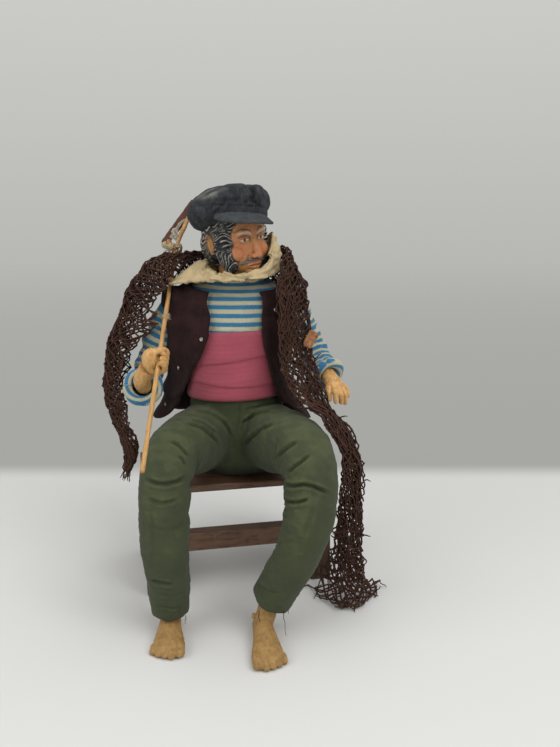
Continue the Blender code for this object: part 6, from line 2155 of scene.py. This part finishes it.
class SANTON_OT_head(bpy.types.Operator):
    """Painted clay head, and the felt cap on it"""

    bl_idname = "santon.head"
    bl_label = "Head and cap"

    def execute(self, context):
        settle_in(make_head(), "head")
        show(make_cap(), [("cap",), ("cap_visor",)])
        return {"FINISHED"}


class SANTON_OT_limbs(bpy.types.Operator):
    """Clay hands and bare feet"""

    bl_idname = "santon.limbs"
    bl_label = "Hands and feet"

    def execute(self, context):
        show(make_hands(), [("hand_right",), ("hand_left",)])
        show(make_feet(), [("foot_right",), ("foot_left",)])
        return {"FINISHED"}


class SANTON_OT_shrimp_net(bpy.types.Operator):
    """Pole with its shrimp net"""

    bl_idname = "santon.shrimp_net"
    bl_label = "Shrimp net"

    def execute(self, context):
        nodes = {
            "pole": ("pole",), "blade": ("shrimp_net_blade",), "arm_right": ("shrimp_net_arm_right",),
            "arm_left": ("shrimp_net_arm_left",), "lashing": ("shrimp_net_lashing",),
            "bag": ("shrimp_net_bag",),
        }
        for name, thing in make_shrimp_net().items():
            settle_in(thing, *nodes.get(name, ()))
        return {"FINISHED"}


class SANTON_OT_fishing_net(bpy.types.Operator):
    """Large knotted fishing net, worn as a shawl, and its cork"""

    bl_idname = "santon.fishing_net"
    bl_label = "Fishing net"

    def execute(self, context):
        under = [
            bpy.data.objects[n]
            for n in (
                "trousers_cloth", "jersey_knit", "waistcoat_felt", "scarf_cotton", "cap_felt", "left_hand_clay",
                "right_hand_clay"
            )
        ]
        net = settle_in(make_fishing_net(under), "fishing_net")
        settle_in(make_cork(), "net_float")
        return {"FINISHED"}


class SANTON_OT_small_things(bpy.types.Operator):
    """Pin and loose threads"""

    bl_idname = "santon.small_things"
    bl_label = "Pin and threads"

    def execute(self, context):
        for thing in make_small_things():
            settle_in(thing)
        return {"FINISHED"}


class SANTON_OT_stool(bpy.types.Operator):
    """Stained wood of the stool, and the tow of the padded body"""

    bl_idname = "santon.stool"
    bl_label = "Stool and padding"

    def execute(self, context):
        turn = math.radians(-STOOL_TURN)
        dark, light = rgb("2b1c15"), rgb("563f2e")
        # painted light: the seat and the front rail take the same stain as the legs and side rails, made 1.7
        # times lighter where the lamps fall on them
        level = wood(
            "stool_wood_level_painted_light", shade(dark, 1.7), shade(light, 1.75), grain=(0.07, 1, 1), turn=(0, 0, turn),
            size=2.6, rough=0.5, worn_colour=rgb("7a5242")
        )
        upright = wood(
            "stool_wood_upright", dark, light, grain=(1, 1, 0.07), turn=(0, 0, turn), size=2.4, rough=0.48,
            worn_colour=rgb("7d4a38")
        )
        deep = wood(
            "stool_wood_side", dark, light, grain=(1, 0.07, 1), turn=(0, 0, turn), size=2.4, rough=0.5,
            worn_colour=rgb("6d4638")
        )
        tow = twine("tow_stuffing", rgb("9c8560"), rgb("c9b58e"), twist=1.4)
        finishes = {
            "stool_seat": level, "stool_rail_front": level, "stool_rail_left": deep, "stool_rail_right": deep,
            "body_padding": tow
        }
        for name, node in frame["nodes"].items():
            finish = finishes.get(name, upright if name.startswith("stool_leg") else None)
            if finish:
                for slot in node.material_slots:
                    slot.material = finish
        return {"FINISHED"}


SWEEP_REACH = 3.0  # m from the middle of the paper to its edges
SENSOR_WIDTH = 36.0  # mm
LAMPS = (
    # name, place and aim in m, width in m and power in W
    ("key_lamp", (0.55, -0.75, 0.95), (0, 0, 0.12), 0.9, 8.1),
    ("fill_lamp", (-0.8, -0.6, 0.7), (0, 0, 0.12), 0.9, 4.6),
    ("top_lamp", (0.1, 0.0, 1.15), (0, 0, 0.0), 1.0, 2.9),
)


class SANTON_OT_stage(bpy.types.Operator):
    """Pale paper floor, the greyer paper behind it, soft lamps and the camera"""

    bl_idname = "santon.stage"
    bl_label = "Stage"

    def execute(self, context):
        scene = context.scene
        colours, sizes = scene.santon_colours, scene.santon_sizes
        mesh = bpy.data.meshes.new("paper_sweep")
        reach = SWEEP_REACH
        corners = [(-reach, -reach, 0), (reach, -reach, 0), (reach, reach, 0), (-reach, reach, 0)]
        mesh.from_pydata(corners, [], [(0, 1, 2, 3)])
        mesh.materials.append(sweep_finish(tuple(colours.floor), tuple(colours.backdrop), sizes.wall_back))
        sweep = bpy.data.objects.new("paper_sweep", mesh)
        scene.collection.objects.link(sweep)
        for name, place, aim, size, power in LAMPS:
            lamp = bpy.data.lights.new(name, "AREA")
            lamp.size, lamp.energy = size, power * sizes.lamp_strength
            thing = bpy.data.objects.new(name, lamp)
            scene.collection.objects.link(thing)
            thing.location = place
            thing.rotation_euler = (Vector(aim) - Vector(place)).to_track_quat("-Z", "Y").to_euler()
        world = bpy.data.worlds.new("soft_room")
        scene.world = world
        room_light(world, tuple(colours.backdrop))
        lens = bpy.data.cameras.new("photo_camera")
        lens.sensor_width = SENSOR_WIDTH
        lens.lens = SENSOR_WIDTH * FOCAL_PIXELS / PHOTO[1]
        lens.clip_start = 0.01
        camera = bpy.data.objects.new("photo_camera", lens)
        scene.collection.objects.link(camera)
        camera.location = Vector(to_frame(EYE))
        camera.rotation_euler = (math.pi / 2 - EYE_PITCH, 0, 0)
        scene.camera = camera
        scene.view_settings.view_transform = "Standard"
        return {"FINISHED"}


def sweep_finish(floor, wall, back):
    """Pale floor that the camera alone sees fade into the greyer paper behind the figure; that paper is a glow
    with painted light, darker near the figure and paler far off.
    """
    paper = Finish("paper_sweep", roughness=0.6, specular=0.1)
    _, far, _ = paper.parts(paper.place())
    seen = paper.add("ShaderNodeLightPath", output="Is Camera Ray")
    behind = far.step(back - 0.035, back + 0.008) * seen
    # painted light: the glow behind the figure is darker near it and paler far off
    tone = paper.mixed(far.step(back, 3.0), shade(wall, 0.78), shade(wall, 0.91))
    glow = paper.mixed(behind, (0.0, 0.0, 0.0), tone)
    paper.tree.links.new(glow.socket, paper.shader.inputs["Emission Color"])
    paper.shader.inputs["Emission Strength"].default_value = 1.0
    return paper.done(paper.mixed(behind, floor, (0.0, 0.0, 0.0)))


def room_light(world, wall):
    """Even light on the figure, and for the camera alone the paper behind it, paler towards its top as painted
    light.
    """
    world.use_nodes = True
    tree = world.node_tree
    tree.nodes.clear()
    place, parts, height, ramp = (
        tree.nodes.new(f"ShaderNode{kind}") for kind in ("TexCoord", "SeparateXYZ", "MapRange", "Mix")
    )
    seen, light, paper, both, out = (
        tree.nodes.new(f"ShaderNode{kind}")
        for kind in ("LightPath", "Background", "Background", "MixShader", "OutputWorld")
    )
    # painted light: the paper seen behind the figure grows paler towards its top
    height.inputs["From Min"].default_value, height.inputs["From Max"].default_value = -0.07, 0.25
    ramp.data_type = "RGBA"
    ramp.inputs[6].default_value, ramp.inputs[7].default_value = (*wall, 1), (*shade(wall, 1.27), 1)
    light.inputs["Color"].default_value, light.inputs["Strength"].default_value = (1.0, 1.0, 0.985, 1), 0.48
    for start, end in (
        (place.outputs["Generated"], parts.inputs[0]), (parts.outputs["Z"], height.inputs["Value"]),
        (height.outputs[0], ramp.inputs[0]),
        (ramp.outputs[2], paper.inputs["Color"]), (seen.outputs["Is Camera Ray"], both.inputs[0]),
        (light.outputs[0], both.inputs[1]), (paper.outputs[0], both.inputs[2]),
        (both.outputs[0], out.inputs["Surface"]),
    ):
        tree.links.new(start, end)


class SANTON_PT_sidebar(bpy.types.Panel):
    """Lists the santon's pieces"""

    bl_label = "Fisherman santon"
    bl_space_type = "VIEW_3D"
    bl_region_type = "UI"
    bl_category = "Santon"

    def draw(self, context):
        for group in (context.scene.santon_sizes, context.scene.santon_colours):
            for name in group.__annotations__:
                self.layout.prop(group, name)
        for step in STEPS:
            self.layout.operator(step.bl_idname)


STEPS = (
    SANTON_OT_stage, SANTON_OT_stool, SANTON_OT_trousers, SANTON_OT_jersey, SANTON_OT_sash, SANTON_OT_waistcoat,
    SANTON_OT_scarf,
    SANTON_OT_head, SANTON_OT_limbs, SANTON_OT_shrimp_net, SANTON_OT_fishing_net, SANTON_OT_small_things,
)
CLASSES = (SANTON_PG_colours, SANTON_PG_sizes, *STEPS, SANTON_PT_sidebar)


def register():
    for each in CLASSES:
        bpy.utils.register_class(each)
    bpy.types.Scene.santon_colours = PointerProperty(type=SANTON_PG_colours)
    bpy.types.Scene.santon_sizes = PointerProperty(type=SANTON_PG_sizes)


def unregister():
    del bpy.types.Scene.santon_colours, bpy.types.Scene.santon_sizes
    for each in reversed(CLASSES):
        bpy.utils.unregister_class(each)


def main():
    register()
    for step in STEPS:
        group, name = step.bl_idname.split(".")
        getattr(getattr(bpy.ops, group), name)()


if __name__ == "__main__":
    main()
